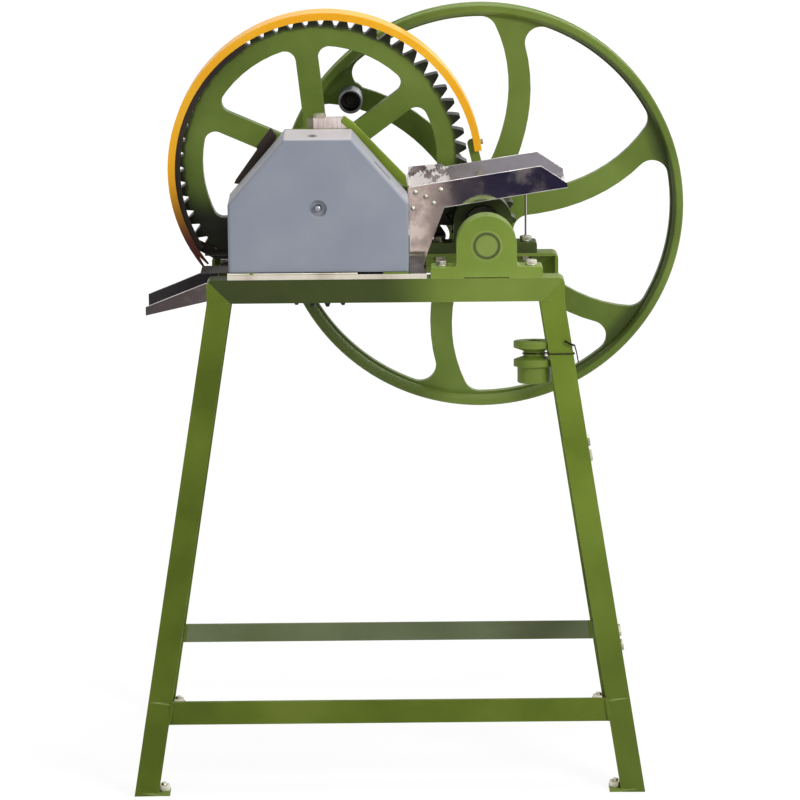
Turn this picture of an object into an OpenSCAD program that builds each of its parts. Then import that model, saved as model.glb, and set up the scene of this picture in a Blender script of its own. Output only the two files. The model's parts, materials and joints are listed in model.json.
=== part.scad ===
// Hand and motor driven sugarcane crushing mill on a splayed angle-iron stand.
// X runs to the right, Y away from the cover, Z up. The origin is the middle of the
// bounding box at floor level. Below, x is counted from the middle of the stand,
// y from the front face of the front beam and h from the top of the stand.

/* [Stand] */
// Height of the top of the stand above the floor
frame_h = 817; // [700:1:950]
// Width of the top of the stand
top_w = 570; // [556:1:640]
// Depth of the top of the stand
top_d = 254; // [250:1:262]
// Width of the angle iron
angle_w = 38; // [34:1:42]
// Thickness of the angle iron
angle_t = 5; // [4:0.5:6]
// Outward slope of the legs, as a tangent
splay = 0.16; // [0.1:0.005:0.18]
// Radius of the upper corners of the stand
corner_r = 10; // [6:1:12]
// Height of the top edge of both stretchers
stretcher_z = 150; // [100:1:220]
// Width of the rear stretcher
rear_stretcher_w = 32; // [25:1:40]
// Width of a foot tab
foot_tab_w = 30; // [24:1:34]
// Reach of a foot tab past the leg
foot_tab_reach = 19; // [16:1:26]
// Thickness of a foot tab
foot_tab_t = 5; // [4:0.5:8]

/* [Motor rails] */
// Depth of the upper motor rail below the top of the stand
upper_rail_drop = 279; // [220:1:360]
// Depth of the lower motor rail below the top of the stand
lower_rail_drop = 581; // [480:1:620]
// Width of a motor rail
rail_w = 50; // [46:1:60]
// Thickness of a motor rail
rail_t = 5; // [4:0.5:8]
// Distance between the two bolts at each end of a rail
rail_bolt_pitch = 25; // [22:1:28]
// Distance between the two motor holes of a rail
motor_hole_pitch = 120; // [80:1:160]
// Diameter of the motor holes
motor_hole_d = 11; // [9:0.5:13]

/* [Fasteners] */
// Diameter of the main bolts
bolt_d = 10; // [8:0.5:11]
// Width across flats of the main bolts
bolt_af = 17; // [15:1:18]
// Height of a bolt head
bolt_head_h = 6.4; // [5:0.1:7]
// Height of a nut
nut_h = 8; // [6:0.5:8]
// Clearance of a bolt in its hole, on the diameter
bolt_slack = 1; // [0.4:0.1:2]
// Diameter of the small bolts
small_d = 6; // [5:0.5:7]
// Width across flats of the small bolts
small_af = 10; // [9:0.5:12]
// Height of a small bolt head
small_head_h = 4; // [3:0.5:5]

/* [Big gears] */
// Circular pitch of the cast gears
tooth_pitch = 25.4; // [24:0.2:26]
// Teeth of the large gear
bull_teeth = 58; // [54:1:60]
// Teeth of the pinion
pinion_teeth = 12; // [12:1:14]
// Pressure angle of all gears
pressure_angle = 25; // [22:0.5:26]
// Backlash of the cast gears
big_backlash = 0.8; // [0.4:0.1:1.4]
// Face width of the large gear
bull_face_w = 35; // [28:1:38]
// Face width of the pinion
pinion_face_w = 40; // [34:1:42]
// Radial depth of the large gear's rim below its teeth
bull_rim_t = 31; // [20:1:40]
// Width of the large gear's spokes
bull_spoke_w = 37; // [28:1:46]
// Thickness of the large gear's spokes
bull_spoke_t = 24; // [16:1:28]
// Spokes of the large gear
bull_spokes = 6; // [5:1:6]
// Radius of the large gear's hub
bull_hub_r = 52; // [44:1:60]
// Corner radius of the large gear's windows
bull_window_r = 18; // [8:1:24]
// Turn of the large gear's first spoke
bull_spoke_turn = 96.5; // [90:0.5:110]

/* [Flywheel] */
// Outer diameter of the flywheel
wheel_d = 682; // [600:2:700]
// Width of the flywheel rim
wheel_rim_w = 46; // [40:1:54]
// Radial thickness of the flywheel rim
wheel_rim_t = 17; // [14:1:24]
// Depth of the belt groove in the rim
groove_depth = 9; // [5:0.5:11]
// Width of the belt groove at its mouth
groove_w = 17; // [12:0.5:20]
// Depth of the wheel's middle plane behind the front beam
wheel_y = 384; // [382:1:400]
// Thickness of the wheel's web
web_t = 14; // [10:1:18]
// Width of a wheel spoke
wheel_spoke_w = 36; // [28:1:44]
// Corner radius of the wheel's windows
wheel_window_r = 27; // [10:1:34]
// Diameter of the wheel's hub
wheel_hub_d = 88; // [76:1:100]
// Length of the wheel's hub
wheel_hub_l = 62; // [50:1:66]
// Spokes of the flywheel
wheel_spokes = 6; // [5:1:7]
// Radius at which the crank handle is fixed
crank_r = 286; // [260:1:288]

/* [Crank handle] */
// Outer diameter of the handle tube
grip_d = 40; // [34:1:42]
// Length of the handle tube
grip_l = 62; // [50:1:64]
// Bore of the handle's open end
grip_mouth_d = 31; // [28:0.5:32]
// Diameter of the pin that the handle turns on
grip_pin_d = 26; // [20:0.5:26]
// Length of the bearing stretch of the handle
grip_bearing_l = 32; // [20:1:40]

/* [Drive shaft] */
// Diameter of the drive shaft
shaft_d = 40; // [34:1:42]
// Height of the shaft above the stand
shaft_h = 52; // [50:1:60]
// Radial running clearance of every bearing
run_gap = 0.05; // [0.02:0.01:0.09]
// Width of a pillow block's foot
pillow_w = 178; // [170:1:186]
// Height of a pillow block's feet
pillow_foot_h = 18; // [14:1:22]
// Radius of a pillow block's dome
pillow_r = 48; // [42:1:50]
// Distance from the shaft to a pillow block's bolts
pillow_bolt_x = 71; // [68:1:74]
// Fillet above a pillow block's feet
pillow_fillet = 6; // [3:0.5:9]

/* [Mill housing] */
// Half of the width of the housing
cheek_half_w = 143.5; // [130:1:150]
// Half of the width of the housing's flat top
cheek_half_top = 63; // [60:1:68]
// Drop of the housing's shoulders below the top roller's axis
cheek_shoulder = 49; // [44:1:52]
// Rise of the housing's flat top above the top roller's axis
cheek_rise = 42; // [42:0.5:46]
// Position of the housing's middle to the left of the stand's middle
mill_left = 106; // [100:1:112]
// Depth of the front cheek's face
near_cheek_y = 108; // [100:1:110]
// Thickness of the front cheek
near_cheek_t = 16; // [14:1:17]
// Thickness of the front cheek's flange that the cover seats on
seat_t = 4; // [3:0.5:6]
// Depth of the rear cheek's front face
far_cheek_y = 228; // [224:1:230]
// Thickness of the rear cheek
far_cheek_t = 20; // [16:1:21]
// Height of the bed bars
bed_bar_t = 9; // [8:0.5:12]
// Width of the bed bars
bed_bar_w = 40; // [34:1:46]
// Thickness of the stainless sheet parts
sheet_t = 1.5; // [1:0.1:2]

/* [Rollers] */
// Gap between the top roller and each lower roller
roller_nip = 3; // [2:0.5:6]
// Height of the top roller above the stand
top_roller_h = 146; // [144:1:150]
// Sideways distance of each lower roller from the top roller
lower_roller_x = 52; // [50:1:54]
// Module of the roller gears
roller_module = 6; // [5.9:0.05:6.1]
// Backlash of the roller gears
roller_backlash = 0.6; // [0.3:0.1:1]
// Face width of the roller gears
roller_gear_w = 30; // [24:1:34]
// Diameter of the roller journals
journal_d = 30; // [26:1:34]
// Diameter of the top roller's drive journal
drive_journal_d = 36; // [32:1:40]
// Wall of the bronze bushes
bush_wall = 5; // [3:0.5:6]
// Depth of the grooves round the rollers
roller_groove = 1.5; // [0.5:0.1:2.5]
// Number of grooves round each roller
roller_grooves = 9; // [4:1:12]

/* [Cover and guard] */
// Half of the width of the cover's flat top
cover_half_top = 53; // [48:1:58]
// Drop of the cover's shoulders below the top roller's axis
cover_shoulder = 26; // [22:1:30]
// Rise of the cover's flat top above the top roller's axis
cover_rise = 79; // [74:1:84]
// Depth of the cover's front face
cover_y = 5; // [4:0.5:12]
// Wall of the cover
cover_t = 3; // [2:0.5:4]
// Height of the bolt recess in the cover
cover_bolt_h = 113; // [108:1:118]
// Diameter of the bolt recess
cover_recess_d = 27; // [24:1:30]
// Outer radius of the gear guard
guard_r = 259; // [258:0.5:264]
// Width of the guard's hoop
guard_w = 64; // [50:1:66]
// Radial height of the guard's front flange
guard_flange = 12; // [7:0.5:13]
// Thickness of the guard's sheet
guard_t = 2; // [1.5:0.1:2.5]
// Sideways offset of the guard from the large gear
guard_dx = 9; // [6:0.5:10]
// Downward offset of the guard from the large gear
guard_dh = 9; // [6:0.5:10]

/* [Trough and chute] */
// Depth of the trough's front wall
trough_y = 100; // [98:1:104]
// Width of the trough
trough_w = 150; // [146:1:150]
// Height of the trough's wall at the mill
trough_wall_h = 42; // [36:1:46]
// Slope of the trough, as a tangent
trough_slope = 0.156; // [0.15:0.005:0.17]
// Reach of the trough to the right of the stand's middle
trough_reach = 294; // [270:1:310]
// Width of the juice chute
chute_w = 87; // [80:1:88]
// Slope of the juice chute, as a tangent
chute_slope = 0.225; // [0.2:0.005:0.25]
// Reach of the juice chute to the left of the stand's middle
chute_reach = 390; // [370:1:400]
// Height of the chute's front wall at its lip
chute_lip_h = 14; // [10:1:18]

/* [Motor pulley] */
// Flange diameter of the motor pulley
pulley_d = 66; // [60:1:70]
// Hub diameter of the motor pulley
pulley_hub_d = 54; // [50:1:60]
// Bore of the motor pulley
pulley_bore_d = 24; // [19:1:28]
// Height of the motor pulley
pulley_h = 68; // [64:1:80]
// Depth of the pulley's top below the top of the stand
pulley_drop = 106; // [100:1:140]
// Diameter of the tie wire
wire_d = 2; // [1.6:0.1:3]

/* [Hidden] */
$fn = 64;
module_big = tooth_pitch / PI;
bull_pitch_r = module_big * bull_teeth / 2;
pinion_pitch_r = module_big * pinion_teeth / 2;
bull_tip_r = bull_pitch_r + module_big;
bull_root_r = bull_pitch_r - 1.25 * module_big;
mill_x = -mill_left;
wheel_r = wheel_d / 2;
gear_rise = top_roller_h - shaft_h;
shaft_x = mill_x + sqrt(pow(bull_pitch_r + pinion_pitch_r, 2) - pow(gear_rise, 2));
leg_drop = frame_h - angle_w;
foot_half = top_w / 2 + splay * leg_drop;
foot_reach = splay * leg_drop;
shaft_stub = 14;
shaft_end_y = wheel_y + wheel_hub_l / 2 + shaft_stub;
// The model is centred on its own bounding box
stand_x = (foot_half - shaft_x - wheel_r) / 2;
face_y = (foot_reach - shaft_end_y) / 2;
rear_y = top_d;
lean_b = -atan(splay);
lean_a = -atan(splay * cos(lean_b));

bed_h = sheet_t + bed_bar_t;
bull_y = top_d + 8;
pinion_y = bull_y + (bull_face_w - pinion_face_w) / 2;
far_outer_y = far_cheek_y + far_cheek_t;
near_inner_y = near_cheek_y + near_cheek_t;
roller_teeth = 14;
roller_pitch_r = roller_module * roller_teeth / 2;
roller_d = 2 * roller_pitch_r - roller_nip;
lower_roller_h = top_roller_h - sqrt(pow(2 * roller_pitch_r, 2) - pow(lower_roller_x, 2));
roller_tip_r = roller_pitch_r + roller_module;
barrel_gap = 3.5;

// Height of the trough's floor at x, which falls towards the rollers
trough_low_x = 96;
trough_low = lower_roller_h + 17;
function trough_floor(x) = trough_low + trough_slope * (x - trough_low_x);

roller_gear_y = 52;
gear_hub_end_y = near_cheek_y - 2;
bed_bar_x = cheek_half_w - bed_bar_w / 2 - 1;
// Side profiles: half width, half of the flat top, height of the shoulders, height of the top
body_shape = [cheek_half_w, cheek_half_top, top_roller_h - cheek_shoulder, top_roller_h + cheek_rise];
cover_shape = [cheek_half_w, cover_half_top, top_roller_h - cover_shoulder, top_roller_h + cover_rise];
top_h = body_shape[3];
register_l = 10;
register_gap = 0.5;
register_t = 6;
tie_low = [cheek_half_w - 37, bed_h + 23];
tie_high = [cheek_half_top - 9, top_h - 22];
scraper_bar = [27.5 - cheek_half_w, lower_roller_h - 12];
hole_d = bolt_d + bolt_slack;
small_hole_d = small_d + 0.6;

green = "#6c7f35";
orange = "#f3a21b";
cover_grey = "#8c92a0";
steel = "#b8bbc3";
zinc = "#cdc9ba";
bronze = "#b0894f";

// Places children in the stand's own coordinates
module on_stand() translate([stand_x, face_y, frame_h]) children();

// Places children at the middle of the mill housing
module on_mill() on_stand() translate([mill_x, 0, 0]) children();

// Turns a drawing of x and h into a plate that starts at depth y and runs away from the cover
module upright(y, t) translate([0, y + t, 0]) rotate([90, 0, 0]) linear_extrude(t) children();

// A round bar along Y
module bar_y(x, y, h, r, l) translate([x, y, h]) rotate([-90, 0, 0]) cylinder(r = r, h = l);

// A round bar along Z
module bar_z(x, y, h, r, l) translate([x, y, h]) cylinder(r = r, h = l);

// A hexagon prism along Z, by its width across flats
module hex(af, h) cylinder(r = af / 2 / cos(30), h = h, $fn = 6);

// A bolt that points down from its head, with its underside at zero
module bolt(d, af, head, l) {
    hex(af, head);
    translate([0, 0, -l]) cylinder(d = d, h = l);
}

// A through bolt with its nut, clamping a stack of the given thickness
module bolt_and_nut(d, af, head, stack, nut) {
    bolt(d, af, head, stack + nut + 2);
    translate([0, 0, -stack - nut]) hex(af, nut);
}

// Angle-iron section with its outer corner at the origin
module angle_section(w, t) polygon([[0, 0], [w, 0], [w, t], [t, t], [t, w], [0, w]]);

function involute(a) = tan(a) - a * PI / 180;
function polar(r, a) = [r * cos(a), r * sin(a)];

// Half of the angle that a tooth covers at a given radius
function tooth_half(r, rp, rb, half) =
    half + (involute(acos(rb / rp)) - involute(acos(min(1, rb / r)))) * 180 / PI;

// Outline of one tooth and the root beside it, for tooth number i
function tooth_points(i, n, m, play, steps) =
    let (
        rp = m * n / 2,
        rb = rp * cos(pressure_angle),
        tip = rp + m,
        root = rp - 1.25 * m,
        start = max(rb, root + 0.35 * m),
        half = (PI * m / 2 - play / 2) / (2 * rp) * 180 / PI,
        mid = i * 360 / n,
        base = tooth_half(start, rp, rb, half),
        foot = base + (180 / n - base) * 0.45
    )
    concat(
        [polar(root, mid - foot)],
        [for (k = [0 : steps])
            let (r = start + (tip - start) * k / steps)
            polar(r, mid - tooth_half(r, rp, rb, half))],
        [for (k = [steps : -1 : 0])
            let (r = start + (tip - start) * k / steps)
            polar(r, mid + tooth_half(r, rp, rb, half))],
        [polar(root, mid + foot)]
    );

module gear_outline(n, m, play, steps)
    polygon([for (i = [0 : n - 1]) each tooth_points(i, n, m, play, steps)]);

// Rounds the upper outer corner of the stand, with that corner at the origin
module corner_cut() translate([-corner_r, 0, -corner_r]) difference() {
    translate([0, -1, 0]) cube([corner_r + 1, angle_w + 2, corner_r + 1]);
    translate([0, -2, 0]) rotate([-90, 0, 0]) cylinder(r = corner_r, h = angle_w + 4);
}

// The outer side of a mitre that falls at 45 degrees from the origin, grown by d
module mitre_side(d) upright(-d, angle_w + 2 * d)
    polygon([[d, d], [d, -angle_w - d], [-angle_w - d, -angle_w - d]]);

// Upright head of a leg, mitred to meet the beam, drawn with its top corner at the origin
module leg_head() difference() {
    intersection() {
        translate([0, 0, -angle_w]) mirror([1, 0, 0]) linear_extrude(angle_w)
            angle_section(angle_w, angle_t);
        mitre_side(0);
    }
    corner_cut();
}

// The leaning bar of a leg, drawn for the front right corner
module leg_bar() {
    intersection() {
        rotate([0, lean_b, 0]) rotate([lean_a, 0, 0])
            translate([0, 0, -frame_h]) mirror([1, 0, 0])
                linear_extrude(frame_h + angle_w) angle_section(angle_w, angle_t);
        translate([-frame_h, -frame_h, -leg_drop]) cube([2 * frame_h, 2 * frame_h, leg_drop]);
    }
}

// Moves a drawing for the front right leg to any leg
module at_leg(side, end)
    translate([0, top_d / 2, 0])
        mirror([side < 0 ? 1 : 0, 0, 0]) mirror([0, end > 0 ? 1 : 0, 0])
            translate([top_w / 2, -top_d / 2, -angle_w]) children();

// The sloping plane of the right legs: x is outward, z runs up along the legs
module on_right_side() translate([top_w / 2, 0, -angle_w]) rotate([0, lean_b, 0]) children();

function side_z(drop) = -(drop - angle_w) / cos(lean_b);
function side_front_y(drop) = side_z(drop) * tan(-lean_a);
rail_end = 22;

// The four bolt places of the rail at the given depth
module at_rail_bolts(drop)
    for (y = [side_front_y(drop) + rail_end, top_d - side_front_y(drop) - rail_end],
         s = [-1, 1])
        translate([0, y, side_z(drop) + s * rail_bolt_pitch / 2]) rotate([0, 90, 0]) children();

module rail_bolt_holes()
    on_right_side() for (drop = [upper_rail_drop, lower_rail_drop])
        at_rail_bolts(drop) translate([0, 0, -40]) cylinder(d = hole_d, h = 60);

module leg(side, end) {
    at_leg(side, end) translate([0, 0, angle_w]) leg_head();
    if (side > 0)
        difference() {
            at_leg(side, end) leg_bar();
            rail_bolt_holes();
        }
    else
        at_leg(side, end) leg_bar();
}

module leg_front_left() color(green) on_stand() leg(-1, -1);
module leg_front_right() color(green) on_stand() leg(1, -1);
module leg_rear_left() color(green) on_stand() leg(-1, 1);
module leg_rear_right() color(green) on_stand() leg(1, 1);

module all_legs() for (side = [-1, 1], end = [-1, 1]) at_leg(side, end) leg_bar();

// Angle-iron beam with mitred ends, drawn for the front
module beam_bar() difference() {
    translate([-top_w / 2, 0, 0]) rotate([90, 0, 90]) linear_extrude(top_w)
        mirror([0, 1]) angle_section(angle_w, angle_t);
    for (s = [0, 1]) mirror([s, 0, 0]) translate([top_w / 2, 0, 0]) {
        mitre_side(1);
        corner_cut();
    }
}

beam_mid = angle_w / 2;
bed_bolt_y = beam_mid;

module pillow_bolt_places() for (s = [-1, 1], y = [beam_mid, rear_y - beam_mid])
    translate([shaft_x + s * pillow_bolt_x, y, 0]) children();

module bed_bolt_places() for (s = [-1, 1]) translate([mill_x + s * bed_bar_x, bed_bolt_y, 0]) children();

module cheek_bolt_places(y) for (s = [-1, 1]) translate([mill_x + s * bed_bar_x, y, 0]) children();

near_bolt_y = near_cheek_y + near_cheek_t / 2;
far_bolt_y = far_cheek_y + far_cheek_t / 2;

module frame_holes() {
    bar_y(mill_x + bracket_root[0], rear_y - 10, bracket_root[1], small_hole_d / 2, 20);
    pillow_bolt_places() bar_z(0, 0, -20, hole_d / 2, 60);
    bed_bolt_places() bar_z(0, 0, -20, hole_d / 2, 60);
    cheek_bolt_places(near_bolt_y) bar_z(0, 0, -20, hole_d / 2, 20 + bed_h + 1);
    cheek_bolt_places(far_bolt_y) bar_z(0, 0, -20, hole_d / 2, 20 + bed_h + 1);
}

module front_beam() color(green) on_stand() difference() {
    beam_bar();
    frame_holes();
}

module rear_beam() color(green) on_stand() difference() {
    translate([0, rear_y, 0]) mirror([0, 1, 0]) beam_bar();
    frame_holes();
}

// Front stretcher: an angle whose lower flange points back, coped round the legs
module front_stretcher() color(green) on_stand() difference() {
    drop = frame_h - stretcher_z;
    reach = splay * (drop - angle_w);
    half = top_w / 2 + reach - angle_t / 2;
    translate([-half, -reach, -drop - angle_w]) rotate([90, 0, 90])
        linear_extrude(2 * half) angle_section(angle_w, angle_t);
    all_legs();
}

// Rear stretcher: a flat bar against the inner faces of the rear legs
module rear_stretcher() color(green) on_stand() difference() {
    drop = frame_h - stretcher_z;
    reach = splay * (drop - angle_w);
    half = top_w / 2 + reach - angle_t / 2;
    translate([-half, rear_y + reach - 1.5 * angle_t, -drop - rear_stretcher_w])
        cube([2 * half, angle_t, rear_stretcher_w]);
    all_legs();
}

foot_bolt_x = angle_w + foot_tab_reach - 10;
foot_bolt_y = foot_tab_w / 2 + 3;

// Floor tabs welded into the feet of the legs
module foot_tabs() color(green) on_stand() difference() {
    for (side = [-1, 1], end = [-1, 1])
        at_leg(side, end) translate([splay * leg_drop, -splay * leg_drop, -leg_drop])
            difference() {
                translate([-angle_w - foot_tab_reach, 1, 0])
                    cube([angle_w + foot_tab_reach - 1, foot_tab_w, foot_tab_t]);
                bar_z(-foot_bolt_x, foot_bolt_y, -1, hole_d / 2, foot_tab_t + 2);
            }
    all_legs();
}

module foot_bolts() color(zinc) on_stand()
    for (side = [-1, 1], end = [-1, 1])
        at_leg(side, end)
            translate([splay * leg_drop - foot_bolt_x, foot_bolt_y - splay * leg_drop, -leg_drop]) {
                cylinder(d = bolt_d, h = foot_tab_t + nut_h + 5);
                translate([0, 0, foot_tab_t]) hex(bolt_af, nut_h);
            }

// Flat bar with two motor holes, bolted inside the side flanges of the right legs
module motor_rail(drop) color(green) on_stand() difference() {
    start = side_front_y(drop) + angle_t + 5;
    on_right_side() difference() {
        translate([-angle_t - rail_t, start, side_z(drop) - rail_w / 2])
            cube([rail_t, top_d - 2 * start, rail_w]);
        for (s = [-1, 1])
            translate([-angle_t - rail_t - 1, top_d / 2 + s * motor_hole_pitch / 2, side_z(drop)])
                rotate([0, 90, 0]) cylinder(d = motor_hole_d, h = rail_t + 2);
    }
    rail_bolt_holes();
}

module motor_rail_upper() motor_rail(upper_rail_drop);
module motor_rail_lower() motor_rail(lower_rail_drop);

module motor_rail_bolts() color(zinc) on_stand() on_right_side()
    for (drop = [upper_rail_drop, lower_rail_drop])
        at_rail_bolts(drop)
            bolt_and_nut(bolt_d, bolt_af, bolt_head_h, angle_t + rail_t, nut_h);

tray_left = mill_x - cheek_half_w - 47;
tray_right = mill_x + cheek_half_w + 28;
tray_lip_h = 8;
tray_step = [mill_x - cheek_half_w - 2, 58];
chute_y = rear_y - angle_w - 4 - chute_w;
chute_end_x = mill_x + lower_roller_x + 40;

// Stainless sheet under the bed bars, slotted for the juice chute and stepped back at its left end
module drip_tray() color(steel) on_stand() difference() {
    union() {
        translate([tray_left, 0, 0]) cube([tray_right - tray_left, rear_y, sheet_t]);
        translate([tray_left, 0, 0]) cube([tray_right - tray_left, sheet_t, tray_lip_h]);
    }
    translate([tray_left - 1, chute_y - 4, -1])
        cube([chute_end_x - tray_left + 1, chute_w + 8, sheet_t + 2]);
    translate([tray_left - 1, -1, -1])
        cube([tray_step[0] - tray_left + 1, tray_step[1] + 1, tray_lip_h + 2]);
    frame_holes();
}

// Flat bars across the stand that carry the housing
module bed_bars() color(green) on_stand() difference() {
    for (s = [-1, 1])
        translate([mill_x + s * bed_bar_x - bed_bar_w / 2, sheet_t, sheet_t])
            cube([bed_bar_w, rear_y - sheet_t - 2, bed_bar_t]);
    frame_holes();
}

thread_l = 20;

// Bolts of the bed bars, and bolts that come up through the bed into the feet of both cheeks
module bed_bolts() color(zinc) on_stand() {
    bed_bolt_places() translate([0, 0, bed_h])
        bolt_and_nut(bolt_d, bolt_af, bolt_head_h, bed_h + angle_t, nut_h);
    cheek_bolt_places(near_bolt_y) mirror([0, 0, 1])
        bolt(bolt_d, bolt_af, bolt_head_h, bed_h + thread_l);
    cheek_bolt_places(far_bolt_y) translate([0, 0, -angle_t]) mirror([0, 0, 1])
        bolt(bolt_d, bolt_af, bolt_head_h, bed_h + angle_t + thread_l);
}

// Length of a profile's slanted side, and its corner points when it is moved inwards by d
function slant(p) = norm([p[0] - p[1], p[3] - p[2]]);
function side_point(p, d) = [p[0] - d, p[2] - d * (slant(p) - p[3] + p[2]) / (p[0] - p[1])];
function top_point(p, d) = [p[1] - d * (slant(p) - p[0] + p[1]) / (p[3] - p[2]), p[3] - d];
function flip(p) = [-p[0], p[1]];
function outline(p, d, low) = [[d - p[0], low], flip(side_point(p, d)), flip(top_point(p, d)),
    top_point(p, d), side_point(p, d), [p[0] - d, low]];

roller_places = [[0, top_roller_h], [lower_roller_x, lower_roller_h],
    [-lower_roller_x, lower_roller_h]];
function bush_d(d) = d + 2 * bush_wall;

module tie_places() for (s = [-1, 1], p = [tie_low, tie_high]) translate([s * p[0], 0, p[1]]) children();

trough_screw_h = lower_roller_h - 6;

module trough_screw_holes(d) for (y = [near_bolt_y, far_bolt_y])
    translate([cheek_half_w - 13, y, trough_screw_h]) rotate([0, 90, 0]) cylinder(d = d, h = 20);

module cheek_cuts(y, t, top_d_bush, bolt_y) {
    trough_screw_holes(small_d);
    bar_y(0, y - 1, top_roller_h, top_d_bush / 2, t + 2);
    for (s = [-1, 1])
        bar_y(s * lower_roller_x, y - 1, lower_roller_h, bush_d(journal_d) / 2, t + 2);
    tie_places() bar_y(0, y - 1, 0, hole_d / 2, t + 2);
    bar_y(scraper_bar[0], y - 1, scraper_bar[1], small_hole_d / 2, t + 2);
    for (s = [-1, 1])
        bar_z(s * bed_bar_x, bolt_y, 0, bolt_d / 2, bed_h + thread_l);
}

boss_h = 2;

// Front cheek: a casting with a wider flange and a raised lip that seat and locate the cover
module front_cheek() color(green) on_mill() difference() {
    union() {
        upright(near_cheek_y, near_cheek_t) polygon(outline(body_shape, 0, bed_h));
        upright(near_cheek_y, seat_t) polygon(outline(cover_shape, 0, bed_h));
        upright(near_cheek_y - register_l, register_l) difference() {
            polygon(outline(cover_shape, cover_t + register_gap, bed_h));
            polygon(outline(cover_shape, cover_t + register_gap + register_t, bed_h + register_t));
        }
        for (p = roller_places) bar_y(p[0], near_inner_y, p[1], bush_d(journal_d) / 2 + 8, boss_h);
    }
    cheek_cuts(near_cheek_y - register_l, near_cheek_t + register_l + boss_h, bush_d(journal_d),
        near_bolt_y);
    hood_screw_holes();
    stay_holes();
    bar_z(cap_bolt_at[0], cap_bolt_at[1], top_h - cap_thread_l, cap_bolt_d / 2, cap_thread_l + 1);
}

module rear_cheek() color(green) on_mill() difference() {
    union() {
        upright(far_cheek_y, far_cheek_t) polygon(outline(body_shape, 0, bed_h));
        for (p = roller_places)
            bar_y(p[0], far_cheek_y - boss_h, p[1], bush_d(drive_journal_d) / 2 + 6, boss_h);
    }
    cheek_cuts(far_cheek_y - boss_h, far_cheek_t + boss_h, bush_d(drive_journal_d), far_bolt_y);
    hood_screw_holes();
}

tie_l = far_outer_y - near_cheek_y;

module tie_bolts() color(zinc) on_mill() tie_places()
    translate([0, near_cheek_y, 0]) rotate([90, 0, 0])
        bolt_and_nut(bolt_d, bolt_af, bolt_head_h, tie_l, 6);

module tie_spacers() color(steel) on_mill() tie_places()
    translate([0, near_inner_y, 0]) rotate([-90, 0, 0]) difference() {
        cylinder(d = bolt_af + 2, h = far_cheek_y - near_inner_y);
        translate([0, 0, -1]) cylinder(d = hole_d, h = far_cheek_y - near_inner_y + 2);
    }

module bush(p, y, d, l) translate([p[0], y, p[1]]) rotate([-90, 0, 0]) difference() {
    cylinder(d = bush_d(d), h = l);
    translate([0, 0, -1]) cylinder(r = d / 2 + run_gap, h = l + 2);
}

module roller_bushes() color(bronze) on_mill() {
    for (p = roller_places) bush(p, near_cheek_y, journal_d, near_cheek_t + boss_h);
    bush(roller_places[0], far_cheek_y - boss_h, drive_journal_d, far_cheek_t + boss_h);
    for (k = [1, 2]) bush(roller_places[k], far_cheek_y - boss_h, journal_d, far_cheek_t + boss_h);
}

inner_w = far_cheek_y - near_inner_y;
barrel_y = near_inner_y + barrel_gap;
barrel_l = inner_w - 2 * barrel_gap;

// Grooved barrel of a roller, with its axis along Y
module barrel(p) translate([p[0], barrel_y, p[1]]) rotate([-90, 0, 0]) difference() {
    cylinder(d = roller_d, h = barrel_l);
    for (k = [1 : roller_grooves])
        translate([0, 0, k * barrel_l / (roller_grooves + 1)]) rotate_extrude()
            polygon([[roller_d / 2 + 1, -roller_groove - 1], [roller_d / 2 + 1, roller_groove + 1],
                [roller_d / 2 - roller_groove, 0]]);
}

shaft_start_y = roller_gear_y - 2;
key_w = 8;
key_h = 7;
bull_hub_y = far_outer_y + 2;
bull_end_y = bull_y + bull_face_w;

// Sunk key that lies on top of a shaft of diameter d
module key_box(x, y, h, d, l)
    translate([x - key_w / 2, y, h + d / 2 - key_h / 2]) cube([key_w, l, key_h]);

module top_roller() color(steel) on_mill() difference() {
    union() {
        barrel(roller_places[0]);
        bar_y(0, shaft_start_y, top_roller_h, journal_d / 2, barrel_y - shaft_start_y + 1);
        bar_y(0, barrel_y + barrel_l - 1, top_roller_h, drive_journal_d / 2,
            bull_end_y - barrel_y - barrel_l + 1);
    }
    key_box(0, bull_hub_y, top_roller_h, drive_journal_d, bull_end_y - bull_hub_y + 1);
}

module lower_roller(k) {
    p = roller_places[k];
    barrel(p);
    bar_y(p[0], shaft_start_y, p[1], journal_d / 2, far_outer_y - shaft_start_y);
}

// Turn that meshes a lower gear with the top gear along their line of centres
function mesh_turn(k) =
    let (p = roller_places[k])
    -2 * atan2(p[1] - top_roller_h, p[0]) - 180 - 180 / roller_teeth;

// Gear and hub on a roller's front journal, drawn looking along Y
module roller_gear(p, turn) translate([p[0], roller_gear_y, p[1]]) rotate([-90, 0, 0]) difference() {
    union() {
        rotate([0, 0, turn]) linear_extrude(roller_gear_w)
            gear_outline(roller_teeth, roller_module, roller_backlash, 5);
        cylinder(r = journal_d / 2 + 11, h = gear_hub_end_y - roller_gear_y);
    }
    translate([0, 0, -1]) cylinder(d = journal_d, h = gear_hub_end_y - roller_gear_y + 2);
}

module top_roller_gear() color(zinc) on_mill() roller_gear(roller_places[0], 0);

module feed_roller() color(steel) on_mill() lower_roller(1);
module feed_roller_gear() color(zinc) on_mill() roller_gear(roller_places[1], mesh_turn(1));
module discharge_roller() color(steel) on_mill() lower_roller(2);
module discharge_roller_gear() color(zinc) on_mill() roller_gear(roller_places[2], mesh_turn(2));

rim_inner_r = bull_root_r - bull_rim_t;
bull_mesh_turn = atan2(shaft_h - top_roller_h, shaft_x - mill_x);

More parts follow.
